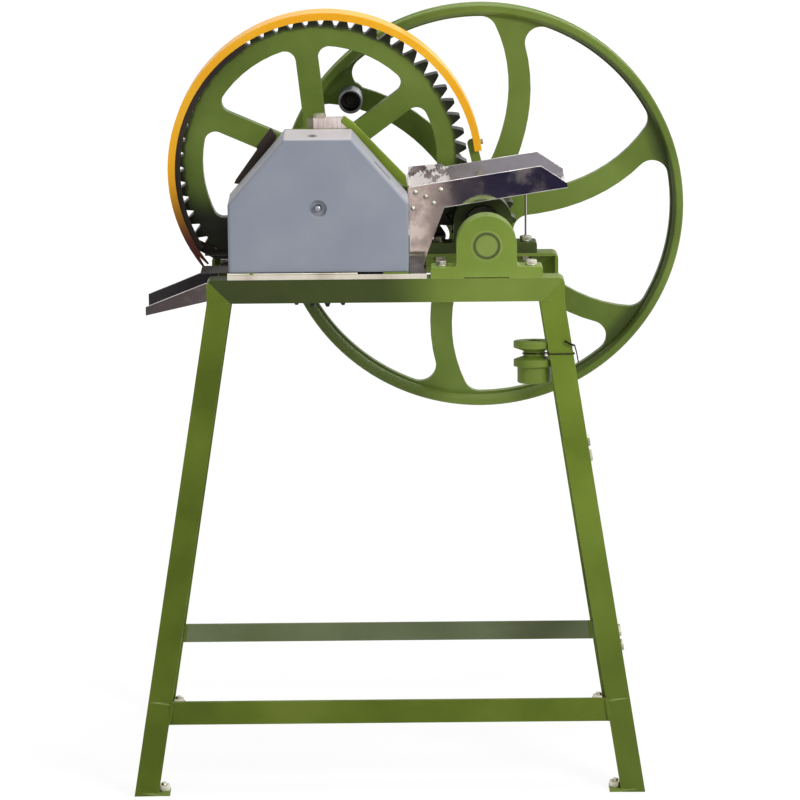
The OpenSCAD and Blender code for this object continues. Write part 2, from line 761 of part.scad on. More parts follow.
// Area between the spokes of the large gear
module bull_windows() {
    for (k = [0 : bull_spokes - 1]) rotate(bull_spoke_turn + k * 360 / bull_spokes)
        offset(r = bull_window_r) offset(delta = -bull_window_r) intersection() {
            difference() {
                circle(r = rim_inner_r);
                circle(r = bull_hub_r);
            }
            difference() {
                half = 180 / bull_spokes;
                far = 2 * rim_inner_r;
                rotate(half) polygon([[0, 0], polar(far, -half), polar(far, half)]);
                for (a = [0, 360 / bull_spokes])
                    rotate(a) translate([0, -bull_spoke_w / 2]) square([2 * rim_inner_r, bull_spoke_w]);
            }
        }
}

// Large gear with a flush front face, and spokes that are thinner than the rim
module bull_gear() color(green) on_mill() difference() {
    union() {
        translate([0, bull_end_y, top_roller_h]) rotate([90, 0, 0]) difference() {
            rotate(bull_mesh_turn) linear_extrude(bull_face_w)
                gear_outline(bull_teeth, module_big, big_backlash, 4);
            translate([0, 0, -1]) linear_extrude(bull_face_w + 2) bull_windows();
            translate([0, 0, -1]) cylinder(r = rim_inner_r + 4, h = bull_face_w - bull_spoke_t + 1);
        }
        bar_y(0, bull_hub_y, top_roller_h, bull_hub_r - 6, bull_end_y - bull_hub_y);
    }
    bar_y(0, bull_hub_y - 1, top_roller_h, drive_journal_d / 2, 80);
    key_box(0, bull_hub_y - 1, top_roller_h, drive_journal_d, 80);
}

module bull_gear_key() color(zinc) on_mill()
    key_box(0, bull_hub_y, top_roller_h, drive_journal_d, bull_end_y - bull_hub_y);

scraper_clear = 1;
scraper_angle = 27;

// Wedge plate that peels the crushed cane off the discharge roller
module scraper() color(steel) on_mill() {
    edge = [-lower_roller_x, lower_roller_h]
        + polar(roller_d / 2 + scraper_clear, 180 - scraper_angle);
    tail = [1 - cheek_half_w, lower_roller_h - 22];
    upright(near_inner_y + boss_h + 1, inner_w - 2 * boss_h - 2)
        polygon([edge, tail, tail - [0, 4], edge - [2, 7]]);
    difference() {
        translate([scraper_bar[0] - 6, near_inner_y, scraper_bar[1] - 6]) cube([12, inner_w, 12]);
        for (y = [near_inner_y - 1, far_cheek_y - 14])
            bar_y(scraper_bar[0], y, scraper_bar[1], small_d / 2, 15);
    }
}

module scraper_screws() {
    translate([scraper_bar[0], near_cheek_y, scraper_bar[1]]) rotate([90, 0, 0])
        bolt(small_d, small_af, small_head_h, near_cheek_t + 13);
    translate([scraper_bar[0], far_outer_y, scraper_bar[1]]) rotate([-90, 0, 0])
        bolt(small_d, small_af, small_head_h, far_cheek_t + 13);
}

hood_y = near_cheek_y + seat_t + 0.5;
hood_l = far_outer_y - hood_y;
hood_t = [8, 4];
// Lower and upper end of each hood, as shares of the sloping edge
hood_ends = [[0.3, 0.9], [0.2, 1.17]];

// Moves to a profile's sloping edge: x runs up the slope, z away from the housing
module on_slope(p, s) mirror([s < 0 ? 1 : 0, 0, 0]) translate([p[0], 0, p[2]])
    mirror([1, 0, 0]) rotate([0, -atan2(p[3] - p[2], p[0] - p[1]), 0]) children();

hood_screw_at = [0.37, 0.78];

module hood_screw_places(s) on_slope(body_shape, s)
    for (f = hood_screw_at, y = [near_inner_y - 5, far_cheek_y + far_cheek_t / 2])
        translate([f * slant(body_shape), y, 0]) children();

module hood_screw_holes() for (s = [-1, 1])
    hood_screw_places(s) translate([0, 0, -14]) cylinder(d = small_d, h = 15);

module hood(k) color(green) on_mill() difference() {
    ends = hood_ends[k] * slant(body_shape);
    on_slope(body_shape, 2 * k - 1) translate([ends[0], hood_y, 0])
        cube([ends[1] - ends[0], hood_l, hood_t[k]]);
    hood_screw_places(2 * k - 1) translate([0, 0, -1]) cylinder(d = small_hole_d, h = hood_t[k] + 2);
}

module hood_left() hood(0);
module hood_right() hood(1);

module hood_screws() {
    for (k = [0, 1])
        hood_screw_places(2 * k - 1) translate([0, 0, hood_t[k]])
            bolt(small_d, small_af, small_head_h, hood_t[k] + 12);
}

top_plate_t = 4;
top_plate_end_y = far_cheek_y - 6;
top_cap = [54, 17, 50];
top_cap_x = 19;
cap_bolt_d = 8;
cap_bolt_at = [3, near_inner_y - 5.5];
cap_thread_l = 12;
cap_ribs = 6;
cap_block = [11, 26, 49];

module top_plate() color(green) on_mill() difference() {
    translate([6 - cheek_half_top, hood_y, top_h])
        cube([2 * cheek_half_top - 12, top_plate_end_y - hood_y, top_plate_t]);
    bar_z(cap_bolt_at[0], cap_bolt_at[1], top_h - 1, cap_bolt_d / 2 + 0.5, top_plate_t + 2);
}

// Ribbed stainless clamp block with a plain block at its left, on the top plate
module top_cap() color(steel) on_mill() difference() {
    union() {
        translate([top_cap_x, hood_y, top_h + top_plate_t]) difference() {
            translate([-top_cap[0] / 2, 0, 0]) cube(top_cap);
            for (k = [1 : cap_ribs])
                translate([(k / (cap_ribs + 1) - 0.5) * top_cap[0], 0, -1])
                    cylinder(d = 2.4, h = top_cap[2] + 2, $fn = 16);
        }
        translate([top_cap_x - top_cap[0] / 2 - cap_block[0] + 1, hood_y + 3, top_h + top_plate_t])
            cube(cap_block);
    }
    bar_z(cap_bolt_at[0], cap_bolt_at[1], top_h + top_plate_t - 1, cap_bolt_d / 2 + 0.5, top_cap[2] + 2);
}

module top_cap_bolt() color(zinc) on_mill()
    translate([cap_bolt_at[0], cap_bolt_at[1], top_h + top_plate_t + top_cap[2]])
        bolt(cap_bolt_d, bolt_af, bolt_head_h, top_cap[2] + top_plate_t + cap_thread_l);

stay_w = 16;
stay_t = 4;
stay_y = 30;
stay_low_h = lower_roller_h - 42;
stay_high_h = top_roller_h + roller_tip_r + 8;

// Heights and seat depths of the stay's two feet
stay_feet = [[stay_low_h, 12], [stay_high_h, seat_t]];

module stay_spigots() for (f = stay_feet) bar_y(0, near_cheek_y - 1, f[0], small_d / 2, f[1] + 1);

module stay_holes() stay_spigots();

// Strap that stands on the front cheek, spans the roller gears and holds the cover's bolt
module cover_stay() color(steel) on_mill() difference() {
    union() {
        translate([-stay_w / 2, stay_y, stay_low_h - 5])
            cube([stay_w, stay_t, stay_high_h - stay_low_h + 10]);
        for (f = stay_feet) bar_y(0, stay_y, f[0], 5, near_cheek_y - stay_y);
        stay_spigots();
        bar_y(0, stay_y, cover_bolt_h, 9, stay_t + 4);
    }
    bar_y(0, stay_y - 1, cover_bolt_h, bolt_d / 2, stay_t + 8);
}

cover_depth = near_cheek_y - cover_y;
recess_depth = 7;
front_round = 4;

module cover_slot(s, from, to, y) on_slope(cover_shape, s)
    translate([from * slant(cover_shape), y, -8]) cube([(to - from) * slant(cover_shape), 7, 16]);

// Shell over the roller gears, with a recessed bolt seat
module gear_cover() color(cover_grey) on_mill() difference() {
    union() {
        difference() {
            union() {
                upright(cover_y + front_round, cover_depth - front_round)
                    polygon(outline(cover_shape, 0, bed_h));
                hull() {
                    upright(cover_y + front_round, 0.5) polygon(outline(cover_shape, 0, bed_h));
                    upright(cover_y, 0.5) polygon(outline(cover_shape, front_round * 0.7, bed_h));
                }
            }
            upright(cover_y + cover_t, cover_depth) polygon(outline(cover_shape, cover_t, bed_h - 10));
        }
        bar_y(0, cover_y + 1, cover_bolt_h, cover_recess_d / 2 + cover_t, recess_depth + cover_t - 1);
    }
    bar_y(0, cover_y - 1, cover_bolt_h, cover_recess_d / 2, recess_depth + 1);
    bar_y(0, cover_y, cover_bolt_h, hole_d / 2, 30);
    cover_slot(1, 0.42, 0.68, 42);
    cover_slot(-1, 0.45, 0.8, 60);
}

module cover_bolt() color(zinc) on_mill()
    translate([0, cover_y + recess_depth, cover_bolt_h]) rotate([90, 0, 0])
        bolt(bolt_d, bolt_af - 3, bolt_head_h, stay_y + stay_t - cover_y - recess_depth + 4);

guard_x = guard_dx;
guard_h = top_roller_h - guard_dh;
guard_y = bull_y + bull_face_w + 3 - guard_w;
guard_start = 6.8;
guard_end = 218.4;
guard_notch = 4.2;

// Forks the hoop's lower end: a notch in the flange, with the sheet behind it cut back
module guard_fork() {
    upright(-1, guard_w + 2) polygon([polar(guard_r - guard_flange + 2.5, guard_end + 1),
        polar(guard_r - guard_flange / 2, guard_end - guard_notch),
        polar(guard_r - guard_t, guard_end + 1)]);
    upright(3 * guard_t, guard_w)
        polygon([for (p = [[-20, 0], [5, 0], [5, 2], [-20, 2]])
            polar(guard_r + p[0], guard_end + (p[1] - 1) * guard_notch)]);
}

// Sheet-metal hoop round the large gear, with a flange at the front
module gear_guard() color(orange) on_mill() difference() {
    translate([guard_x, guard_y, guard_h]) rotate([90, 0, 0]) mirror([0, 0, 1])
        rotate([0, 0, guard_start]) rotate_extrude(angle = guard_end - guard_start, $fn = 180)
            polygon([[guard_r - guard_flange, 0], [guard_r, 0], [guard_r, guard_w],
                [guard_r - guard_t, guard_w], [guard_r - guard_t, guard_t],
                [guard_r - guard_flange, guard_t]]);
    translate([guard_x, guard_y, guard_h]) guard_fork();
    guard_screw_holes();
}

arm_t = 4;
hoop_inner_r = guard_r - guard_t;
strap_angle = [9.5, 211];
strap_y = [trough_y + trough_w, rear_y];
strap_hole_y = 16;
strap_x = guard_x + hoop_inner_r * cos(strap_angle[0]);
arm_root = [strap_x, trough_floor(mill_x + strap_x) + 0.5 * trough_wall_h];
bracket_root = [-top_w / 2 - mill_x + 34, -20];

// Places a drawing at the inside of the hoop: x points outwards, z along the hoop
module on_hoop(angle) translate([guard_x, 0, guard_h]) rotate([0, -angle, 0])
    translate([hoop_inner_r, 0, 0]) children();

module guard_screw_holes() for (k = [0, 1])
    on_hoop(strap_angle[k]) translate([-1, strap_y[k] + strap_hole_y, 0]) rotate([0, 90, 0])
        cylinder(d = small_hole_d, h = 10);

strap_w = 16;
strap_foot_l = 24;
// How far a flat foot stands off the inside of the round hoop
strap_seat = hoop_inner_r - sqrt(pow(hoop_inner_r, 2) - pow(strap_w / 2, 2));

// Flat strap whose end is turned along the hoop and screwed to it
module guard_strap(root, k) difference() {
    tip = [guard_x, guard_h] + polar(hoop_inner_r - arm_t - strap_w / 2, strap_angle[k]);
    union() {
        upright(strap_y[k], arm_t) hull() {
            translate(root) circle(d = strap_w, $fn = 32);
            translate(tip) circle(d = strap_w, $fn = 32);
        }
        on_hoop(strap_angle[k]) translate([-arm_t - strap_seat, strap_y[k], -strap_w / 2])
            cube([arm_t, strap_foot_l, strap_w]);
        on_hoop(strap_angle[k]) translate([-arm_t - strap_w / 2, strap_y[k], -strap_w / 2])
            cube([strap_w / 2 + arm_t - strap_seat, arm_t, strap_w]);
    }
    on_hoop(strap_angle[k]) translate([-10, strap_y[k] + strap_hole_y, 0]) rotate([0, 90, 0])
        cylinder(d = small_hole_d, h = 20);
    bar_y(root[0], strap_y[k] - 1, root[1], small_hole_d / 2, arm_t + 2);
}

module guard_arm() color(green) on_mill() guard_strap(arm_root, 0);
module guard_bracket() color(green) on_mill() guard_strap(bracket_root, 1);

module guard_screws() {
    for (k = [0, 1])
        on_hoop(strap_angle[k]) translate([guard_t, strap_y[k] + strap_hole_y, 0]) rotate([0, 90, 0])
            bolt(small_d, small_af, small_head_h, guard_t + arm_t + 3);
    translate([arm_root[0], strap_y[0] + arm_t, arm_root[1]]) rotate([-90, 0, 0])
        bolt_and_nut(small_d, small_af, 3, arm_t + sheet_t, 4);
    translate([bracket_root[0], strap_y[1] + arm_t, bracket_root[1]]) rotate([-90, 0, 0])
        bolt_and_nut(small_d, small_af, 3, arm_t + angle_t, 5);
}

module trough_screws() for (y = [near_bolt_y, far_bolt_y])
    translate([cheek_half_w + sheet_t, y, trough_screw_h]) rotate([0, 90, 0])
        bolt(small_d, small_af, small_head_h, sheet_t + 12);

// The small screws of the housing, the guard and the trough
module housing_screws() color(zinc) on_mill() {
    hood_screws();
    scraper_screws();
    guard_screws();
    trough_screws();
}

trough_root = mill_x + cheek_half_w;
trough_wall_x = trough_root + sheet_t;

// Places along the trough: end of the rear wall's raised stretch, and start of the pointed tip
trough_raise_x = trough_wall_x + 55;
trough_tip_x = trough_reach - 43;
trough_tip_h = 7;
gusset_foot = [62, 69, 24];

function over_floor(x, rise) = [x, trough_floor(x) + rise];

module trough_wall(front) polygon(concat(
    [over_floor(trough_wall_x, trough_wall_h + (front ? 0 : 10))],
    front ? [] : [over_floor(trough_raise_x, trough_wall_h + 6),
        over_floor(trough_raise_x + 5, trough_wall_h)],
    [over_floor(trough_tip_x, trough_wall_h), over_floor(trough_reach, trough_tip_h),
        over_floor(trough_reach, 0), over_floor(trough_low_x, 0)],
    front ? [[gusset_foot[1], sheet_t + gusset_foot[2]], [gusset_foot[0], sheet_t],
        [trough_wall_x, sheet_t]] : [[trough_wall_x, trough_low - 30]]));

// Feed trough: a stainless channel that is screwed to the cheeks and stands on the tray
module feed_trough() color(steel) on_stand() difference() {
    union() {
        upright(trough_y, sheet_t) trough_wall(true);
        upright(trough_y + trough_w - sheet_t, sheet_t) trough_wall(false);
        upright(trough_y + sheet_t, trough_w - 2 * sheet_t)
            polygon([over_floor(trough_root, 0), over_floor(trough_reach, 0),
                over_floor(trough_reach, sheet_t), over_floor(trough_root, sheet_t)]);
        tongue = mill_x + lower_roller_x + roller_d / 2 + 6.5;
        upright(near_inner_y + boss_h + 1, inner_w - 2 * boss_h - 2)
            polygon([over_floor(tongue, 0), over_floor(trough_root + 1, 0),
                over_floor(trough_root + 1, sheet_t), over_floor(tongue, sheet_t)]);
        for (y = [trough_y, far_cheek_y + 1])
            translate([trough_root, y, trough_floor(trough_root) - 26])
                cube([sheet_t, y == trough_y ? near_inner_y - y - 1 : trough_y + trough_w - y,
                    trough_wall_h + 26]);
        translate([trough_wall_x, trough_y, sheet_t]) cube([20, 16, sheet_t]);
    }
    translate([mill_x, 0, 0]) {
        trough_screw_holes(small_hole_d);
        bar_y(arm_root[0], strap_y[0] - 5, arm_root[1], small_hole_d / 2, 10);
    }
}

// Round rivet heads on both walls
rivet_at = [[10, 34], [27, 27], [40, 16], [51, 38], [6, 8]];
rivet_r = 4;

module trough_rivets() color(zinc) on_stand() {
    for (p = rivet_at, side = [0, 1])
        translate([trough_wall_x + p[0], side == 0 ? trough_y : trough_y + trough_w,
            trough_floor(trough_wall_x) + p[1]])
            rotate([side == 0 ? 90 : -90, 0, 0]) intersection() {
                translate([0, 0, -2]) sphere(r = rivet_r + 0.6, $fn = 32);
                cylinder(r = rivet_r, h = 6, $fn = 32);
            }
}

stay_rod_x = shaft_x + pillow_bolt_x;
stay_rod_y = rear_y - beam_mid;

module trough_stay() color(steel) on_stand() {
    low = pillow_foot_h + bolt_head_h;
    high = trough_floor(stay_rod_x);
    bar_z(stay_rod_x, stay_rod_y, low, 1.75, high - low - 1.5);
    bar_z(stay_rod_x, stay_rod_y, high - 2.7, 5, 1.8);
}

chute_lip_drop = 81;
function chute_floor(x) = chute_slope * (x + chute_reach) - chute_lip_drop;
chute_neck = 97 - chute_reach;
// Heights of the front and the rear wall at the neck, and of both walls under the rollers
chute_neck_h = [30, 36];
chute_back_h = lower_roller_h - 59;

module chute_wall(k) polygon([[-chute_reach, chute_floor(-chute_reach)],
    [-chute_reach, chute_floor(-chute_reach) + chute_lip_h + 5 * k],
    [chute_neck, chute_floor(chute_neck) + chute_neck_h[k]],
    [chute_end_x, chute_floor(chute_end_x) + chute_back_h],
    [chute_end_x, chute_floor(chute_end_x)]]);

// Juice chute: a stainless channel under the rollers that drains to the left
module juice_chute() color(steel) on_stand() {
    upright(chute_y, sheet_t) chute_wall(0);
    upright(chute_y + chute_w - sheet_t, sheet_t) chute_wall(1);
    upright(chute_y, chute_w)
        polygon([[-chute_reach, chute_floor(-chute_reach)], [chute_end_x, chute_floor(chute_end_x)],
            [chute_end_x, chute_floor(chute_end_x) + sheet_t],
            [-chute_reach, chute_floor(-chute_reach) + sheet_t]]);
    translate([chute_end_x, chute_y, sheet_t])
        cube([sheet_t, chute_w, chute_floor(chute_end_x) + chute_back_h - sheet_t]);
}

hanger_x = mill_x - cheek_half_w - 11;
hanger_t = 3;
hanger_w = 20;
hanger_l = 26;

// Two hangers with their screws hold the chute between the tray and the rear beam
module chute_hangers() color(steel) on_stand() {
    low = chute_floor(hanger_x) + 4;
    for (side = [0, 1]) {
        under = side == 0 ? 0 : -angle_t;
        wall = side == 0 ? chute_y - hanger_t : chute_y + chute_w;
        flat = side == 0 ? chute_y - hanger_l : chute_y + chute_w;
        translate([hanger_x - hanger_w / 2, wall, low]) cube([hanger_w, hanger_t, under - low]);
        translate([hanger_x - hanger_w / 2, flat, under - hanger_t])
            cube([hanger_w, hanger_l, hanger_t]);
        translate([hanger_x, side == 0 ? flat + 9 : flat + hanger_l - 9, under - hanger_t])
            mirror([0, 0, 1]) hex(small_af, small_head_h);
    }
}

pillow_relief = 1.5;

// Pillow block with a plain bore, drawn looking along Y
module pillow_block(y) color(green) on_stand() translate([shaft_x, 0, 0]) difference() {
    upright(y, angle_w) difference() {
        union() {
            translate([-pillow_w / 2, 0]) square([pillow_w, pillow_foot_h - 4]);
            translate([4 - pillow_w / 2, 0]) square([pillow_w - 8, pillow_foot_h]);
            for (s = [-1, 1]) translate([s * (pillow_w / 2 - 4), pillow_foot_h - 4]) circle(r = 4);
            translate([-pillow_r, 0]) square([2 * pillow_r, shaft_h]);
            translate([0, shaft_h]) circle(r = pillow_r, $fn = 96);
            for (s = [-1, 1]) translate([s * pillow_r, pillow_foot_h]) difference() {
                translate([s > 0 ? -1 : -pillow_fillet, -1]) square(pillow_fillet + 1);
                translate([s * pillow_fillet, pillow_fillet]) circle(r = pillow_fillet);
            }
        }
        translate([-36, -1]) square([72, 1 + pillow_relief]);
    }
    bar_y(0, y - 1, shaft_h, bush_d(shaft_d) / 2, angle_w + 2);
    for (s = [-1, 1]) bar_z(s * pillow_bolt_x, y + angle_w / 2, -1, hole_d / 2, pillow_foot_h + 2);
    bar_z(0, y + angle_w / 2, shaft_h, oil_hole_d / 2, pillow_r + 1);
}

oil_hole_d = 5;

// Bronze bushes of the drive shaft, with an oil hole at the top
module pillow_bushes() color(bronze) on_stand() difference() {
    for (y = [0, rear_y - angle_w]) bush([shaft_x, shaft_h], y, shaft_d, angle_w);
    for (y = [0, rear_y - angle_w])
        bar_z(shaft_x, y + angle_w / 2, shaft_h, oil_hole_d / 2, bush_d(shaft_d) / 2 + 1);
}

module pillow_block_front() pillow_block(0);
module pillow_block_rear() pillow_block(rear_y - angle_w);

module pillow_bolts() color(zinc) on_stand() pillow_bolt_places()
    translate([0, 0, pillow_foot_h])
        bolt_and_nut(bolt_d, bolt_af, bolt_head_h, pillow_foot_h + angle_t, nut_h);

wheel_hub_y = wheel_y - wheel_hub_l / 2;
collar_w = 16;
collar_gap = 1;
wheel_key_l = wheel_hub_l + 6;

module drive_keys_at() {
    key_box(shaft_x, pinion_y, shaft_h, shaft_d, pinion_face_w);
    key_box(shaft_x, wheel_hub_y, shaft_h, shaft_d, wheel_key_l);
}

// Shaft with two collars that keep it between the pillow blocks
module drive_shaft() color(steel) on_stand() difference() {
    union() {
        bar_y(shaft_x, 0.5, shaft_h, shaft_d / 2, shaft_end_y - 0.5);
        for (y = [angle_w + collar_gap, rear_y - angle_w - collar_w - collar_gap])
            bar_y(shaft_x, y, shaft_h, shaft_d / 2 + 9, collar_w);
    }
    drive_keys_at();
}

module drive_keys() color(zinc) on_stand() drive_keys_at();

// Pinion, with a tooth gap turned to the large gear
module pinion() color(green) on_stand() difference() {
    union() {
        translate([shaft_x, pinion_y + pinion_face_w, shaft_h]) rotate([90, 0, 0])
            rotate(180 + bull_mesh_turn + 180 / pinion_teeth) linear_extrude(pinion_face_w)
                gear_outline(pinion_teeth, module_big, big_backlash, 6);
        bar_y(shaft_x, pinion_y + pinion_face_w - 1, shaft_h, shaft_d / 2 + 9, 13);
    }
    bar_y(shaft_x, pinion_y - 1, shaft_h, shaft_d / 2, pinion_face_w + 14);
    key_box(shaft_x, pinion_y - 1, shaft_h, shaft_d, pinion_face_w + 14);
}

// Angle of a flywheel spoke's middle line at radius r
function sweep(r) = 59 + 0.03 * r + 0.00014 * r * r;
spoke_steps = 14;
spoke_inner_r = 30;
web_r = wheel_r - wheel_rim_t;

function spoke_edge(k, side) =
    let (r = spoke_inner_r + (wheel_r - spoke_inner_r) * k / spoke_steps,
        w = wheel_spoke_w / 2 * (1.12 - 0.16 * r / wheel_r))
    polar(r, sweep(r)) + polar(side * w, sweep(r) + 90 + atan(r * (0.03 + 0.00028 * r) * PI / 180));

module wheel_spoke() polygon(concat(
    [for (k = [0 : spoke_steps]) spoke_edge(k, 1)],
    [for (k = [spoke_steps : -1 : 0]) spoke_edge(k, -1)]));

module wheel_windows() offset(r = wheel_window_r) offset(delta = -wheel_window_r) difference() {
    circle(r = web_r - 4, $fn = 180);
    circle(r = wheel_hub_d / 2 + 4);
    for (k = [0 : wheel_spokes - 1]) rotate(k * 360 / wheel_spokes) wheel_spoke();
}

crank_angle = sweep(crank_r) + 60;
crank_x = shaft_x + crank_r * cos(crank_angle);
crank_h = shaft_h + crank_r * sin(crank_angle);
web_front_y = wheel_y - web_t / 2;
crank_boss_h = 3;

module wheel_rim() rotate_extrude($fn = 180) difference() {
    half = wheel_rim_w / 2;
    polygon([[web_r, 5 - half], [web_r + 5, -half], [wheel_r - 2, -half], [wheel_r, 2 - half],
        [wheel_r, half - 2], [wheel_r - 2, half], [web_r + 5, half], [web_r, half - 5]]);
    polygon([[wheel_r + 1, -groove_w / 2 - 0.4], [wheel_r + 1, groove_w / 2 + 0.4],
        [wheel_r - groove_depth, groove_w / 4], [wheel_r - groove_depth, -groove_w / 4]]);
}

// Flywheel with a belt groove, swept spokes and a keyed hub
module flywheel() color(green) on_stand() difference() {
    union() {
        translate([shaft_x, wheel_y, shaft_h]) rotate([90, 0, 0]) {
            wheel_rim();
            translate([0, 0, -web_t / 2]) linear_extrude(web_t) difference() {
                circle(r = web_r + 3, $fn = 180);
                wheel_windows();
            }
            translate([0, 0, -wheel_hub_l / 2]) cylinder(d = wheel_hub_d, h = wheel_hub_l);
        }
        bar_y(crank_x, web_front_y - crank_boss_h, crank_h, grip_d / 2 + 4, web_t + crank_boss_h);
    }
    bar_y(shaft_x, wheel_hub_y - 1, shaft_h, shaft_d / 2, wheel_hub_l + 2);
    key_box(shaft_x, wheel_hub_y - 1, shaft_h, shaft_d, wheel_hub_l + 2);
    bar_y(crank_x, pin_base_y - 1, crank_h, crank_thread_d / 2, web_t + crank_boss_h + 2);
}

crank_thread_d = 16;
grip_y = web_front_y - crank_boss_h - 1 - grip_l;
pin_start_y = grip_y + grip_l - grip_bearing_l - 0.6;
pin_base_y = web_front_y - crank_boss_h;

// Pin, retaining washer and nut of the crank handle
module crank_pin() color(zinc) on_stand() {
    bar_y(crank_x, pin_start_y, crank_h, grip_pin_d / 2 - run_gap, pin_base_y - pin_start_y);
    bar_y(crank_x, pin_base_y, crank_h, crank_thread_d / 2, web_t + crank_boss_h + 12);
    bar_y(crank_x, pin_start_y - 2, crank_h, grip_mouth_d / 2 - 0.8, 2);
    translate([crank_x, pin_start_y - 2, crank_h]) rotate([90, 0, 0]) hex(13, 5);
    translate([crank_x, wheel_y + web_t / 2, crank_h]) rotate([-90, 0, 0]) hex(24, 10);
}

// Open steel tube that turns on the crank pin
module crank_grip() color(steel) on_stand() translate([crank_x, grip_y, crank_h]) rotate([-90, 0, 0])
    difference() {
        cylinder(d = grip_d, h = grip_l);
        translate([0, 0, -1]) cylinder(d = grip_mouth_d, h = grip_l - grip_bearing_l + 1);
        translate([0, 0, -1]) cylinder(d = grip_pin_d, h = grip_l + 2);
    }

pulley_r = pulley_d / 2;
// How far the leg's inner edge lies to the right of the pulley's axis
pulley_inset = 21;
lean = atan(splay);
pulley_rise = pulley_drop - angle_w;
pulley_x = top_w / 2 + splay * pulley_rise - angle_w - pulley_inset;
pulley_back = angle_t + 2.2 + sqrt(pow(pulley_r, 2) - pow(pulley_inset, 2));
pulley_y = (pulley_back - pulley_rise * sin(lean)) / cos(lean);
groove_top = 11;
groove_low = 30;
lower_flange_end = 41;
pulley_root_r = 17.5;
set_screw_h = 14;

// The pulley leans with the leg's front face, and hangs down from its top at the origin
module on_pulley() on_stand() translate([pulley_x, pulley_y, -pulley_drop]) rotate([-lean, 0, 0])
    children();

// The pulley hangs a little more upright than the leg, about the middle of its groove
pulley_ease = 2.6;
module hung() translate([0, 0, -(groove_top + groove_low) / 2]) rotate([pulley_ease, 0, 0])
    translate([0, 0, (groove_top + groove_low) / 2]) children();

// Vee pulley for a motor, hung along the leg
module motor_pulley() color(green) on_pulley() hung() difference() {
    groove_mid = (groove_top + groove_low) / 2;
    bore_r = pulley_bore_d / 2;
    hub_r = pulley_hub_d / 2;
    rotate_extrude($fn = 96) polygon([[bore_r, 0], [pulley_r - 1.5, 0], [pulley_r, -1.5],
        [pulley_r, -groove_top], [pulley_root_r, 4 - groove_mid], [pulley_root_r, -4 - groove_mid],
        [pulley_r, -groove_low], [pulley_r, -lower_flange_end], [hub_r, -lower_flange_end],
        [hub_r, 2 - pulley_h], [hub_r - 2, -pulley_h], [bore_r, -pulley_h]]);
    translate([-key_w / 2, 0, -pulley_h - 1]) cube([key_w, bore_r + 3, pulley_h + 2]);
    translate([-pulley_d, 0, set_screw_h - pulley_h]) rotate([0, 90, 0])
        cylinder(d = small_d, h = pulley_d);
}

module pulley_set_screw() color(zinc) on_pulley() hung()
    translate([-pulley_bore_d / 2 - 12, 0, set_screw_h - pulley_h])
        rotate([0, 90, 0]) cylinder(d = small_d, h = 12);

wire_r = wire_d / 2;
wire_drop = (groove_top + groove_low) / 2;
wire_gap = wire_r + 0.6;
// Depth of the wire below the leg's top, along the leg's front face
wire_fall = wire_drop - pulley_y * sin(lean) + pulley_rise * cos(lean);
wire_corner = [top_w / 2 - pulley_x + splay * cos(lean) * wire_fall + wire_gap, -pulley_back - wire_gap];
// How far the leg's side face runs outwards over its depth
wire_skew = 1.1 * splay * splay * angle_w;
wire_sides = 8;

// Points of the tie wire's closed loop: outside the leg, then round the pulley's groove
wire_path = concat(
    [wire_corner + [wire_skew, angle_w + 2 * wire_d], wire_corner, wire_corner - [angle_w + 2 * wire_d, 0]],
    [for (k = [0 : 11]) polar(pulley_root_r + wire_r + 0.2, 260 - k * 16)]);

function unit(v) = v / norm(v);

// One ring of the wire at corner i, mitred between its two runs
function wire_ring(i) =
    let (
        n = len(wire_path),
        p = wire_path[i],
        before = unit(p - wire_path[(i + n - 1) % n]),
        after = unit(wire_path[(i + 1) % n] - p),
        along = unit(before + after),
        side = [-along[1], along[0]] * wire_r / (along * after)
    )
    [for (k = [0 : wire_sides - 1])
        let (a = k * 360 / wire_sides)
        [p[0] + side[0] * cos(a), p[1] + side[1] * cos(a), wire_r * sin(a)]];

// Wire loop round the pulley's groove and the front right leg
module pulley_tie_wire() color("#2a2a28") on_pulley() translate([0, 0, -wire_drop]) {
    n = len(wire_path);
    polyhedron(
        points = [for (i = [0 : n - 1]) each wire_ring(i)],
        faces = [for (i = [0 : n - 1], k = [0 : wire_sides - 1])
            let (a = i * wire_sides, b = ((i + 1) % n) * wire_sides, m = (k + 1) % wire_sides)
            [a + k, a + m, b + m, b + k]]);
}

front_beam();
rear_beam();
leg_front_left();
leg_front_right();
leg_rear_left();
leg_rear_right();
front_stretcher();
rear_stretcher();
foot_tabs();
foot_bolts();
motor_rail_upper();
motor_rail_lower();
motor_rail_bolts();
drip_tray();
bed_bars();
bed_bolts();
front_cheek();
rear_cheek();
tie_bolts();
tie_spacers();
roller_bushes();
scraper();
hood_left();
hood_right();
top_plate();
top_cap();
top_cap_bolt();
housing_screws();
cover_stay();
gear_cover();
cover_bolt();
gear_guard();
guard_arm();
guard_bracket();
feed_trough();
trough_rivets();
trough_stay();
juice_chute();
chute_hangers();
pillow_block_front();
pillow_block_rear();
pillow_bushes();
pillow_bolts();
motor_pulley();
pulley_set_screw();
pulley_tie_wire();
top_roller();
top_roller_gear();
bull_gear();
bull_gear_key();
feed_roller();
feed_roller_gear();
discharge_roller();
discharge_roller_gear();
drive_shaft();
drive_keys();
pinion();
flywheel();
crank_pin();
crank_grip();
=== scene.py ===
# Sugarcane mill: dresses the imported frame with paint, metal and small parts, then sets the photo view.
import bpy, bmesh, json, math, random
from mathutils import Matrix, Vector


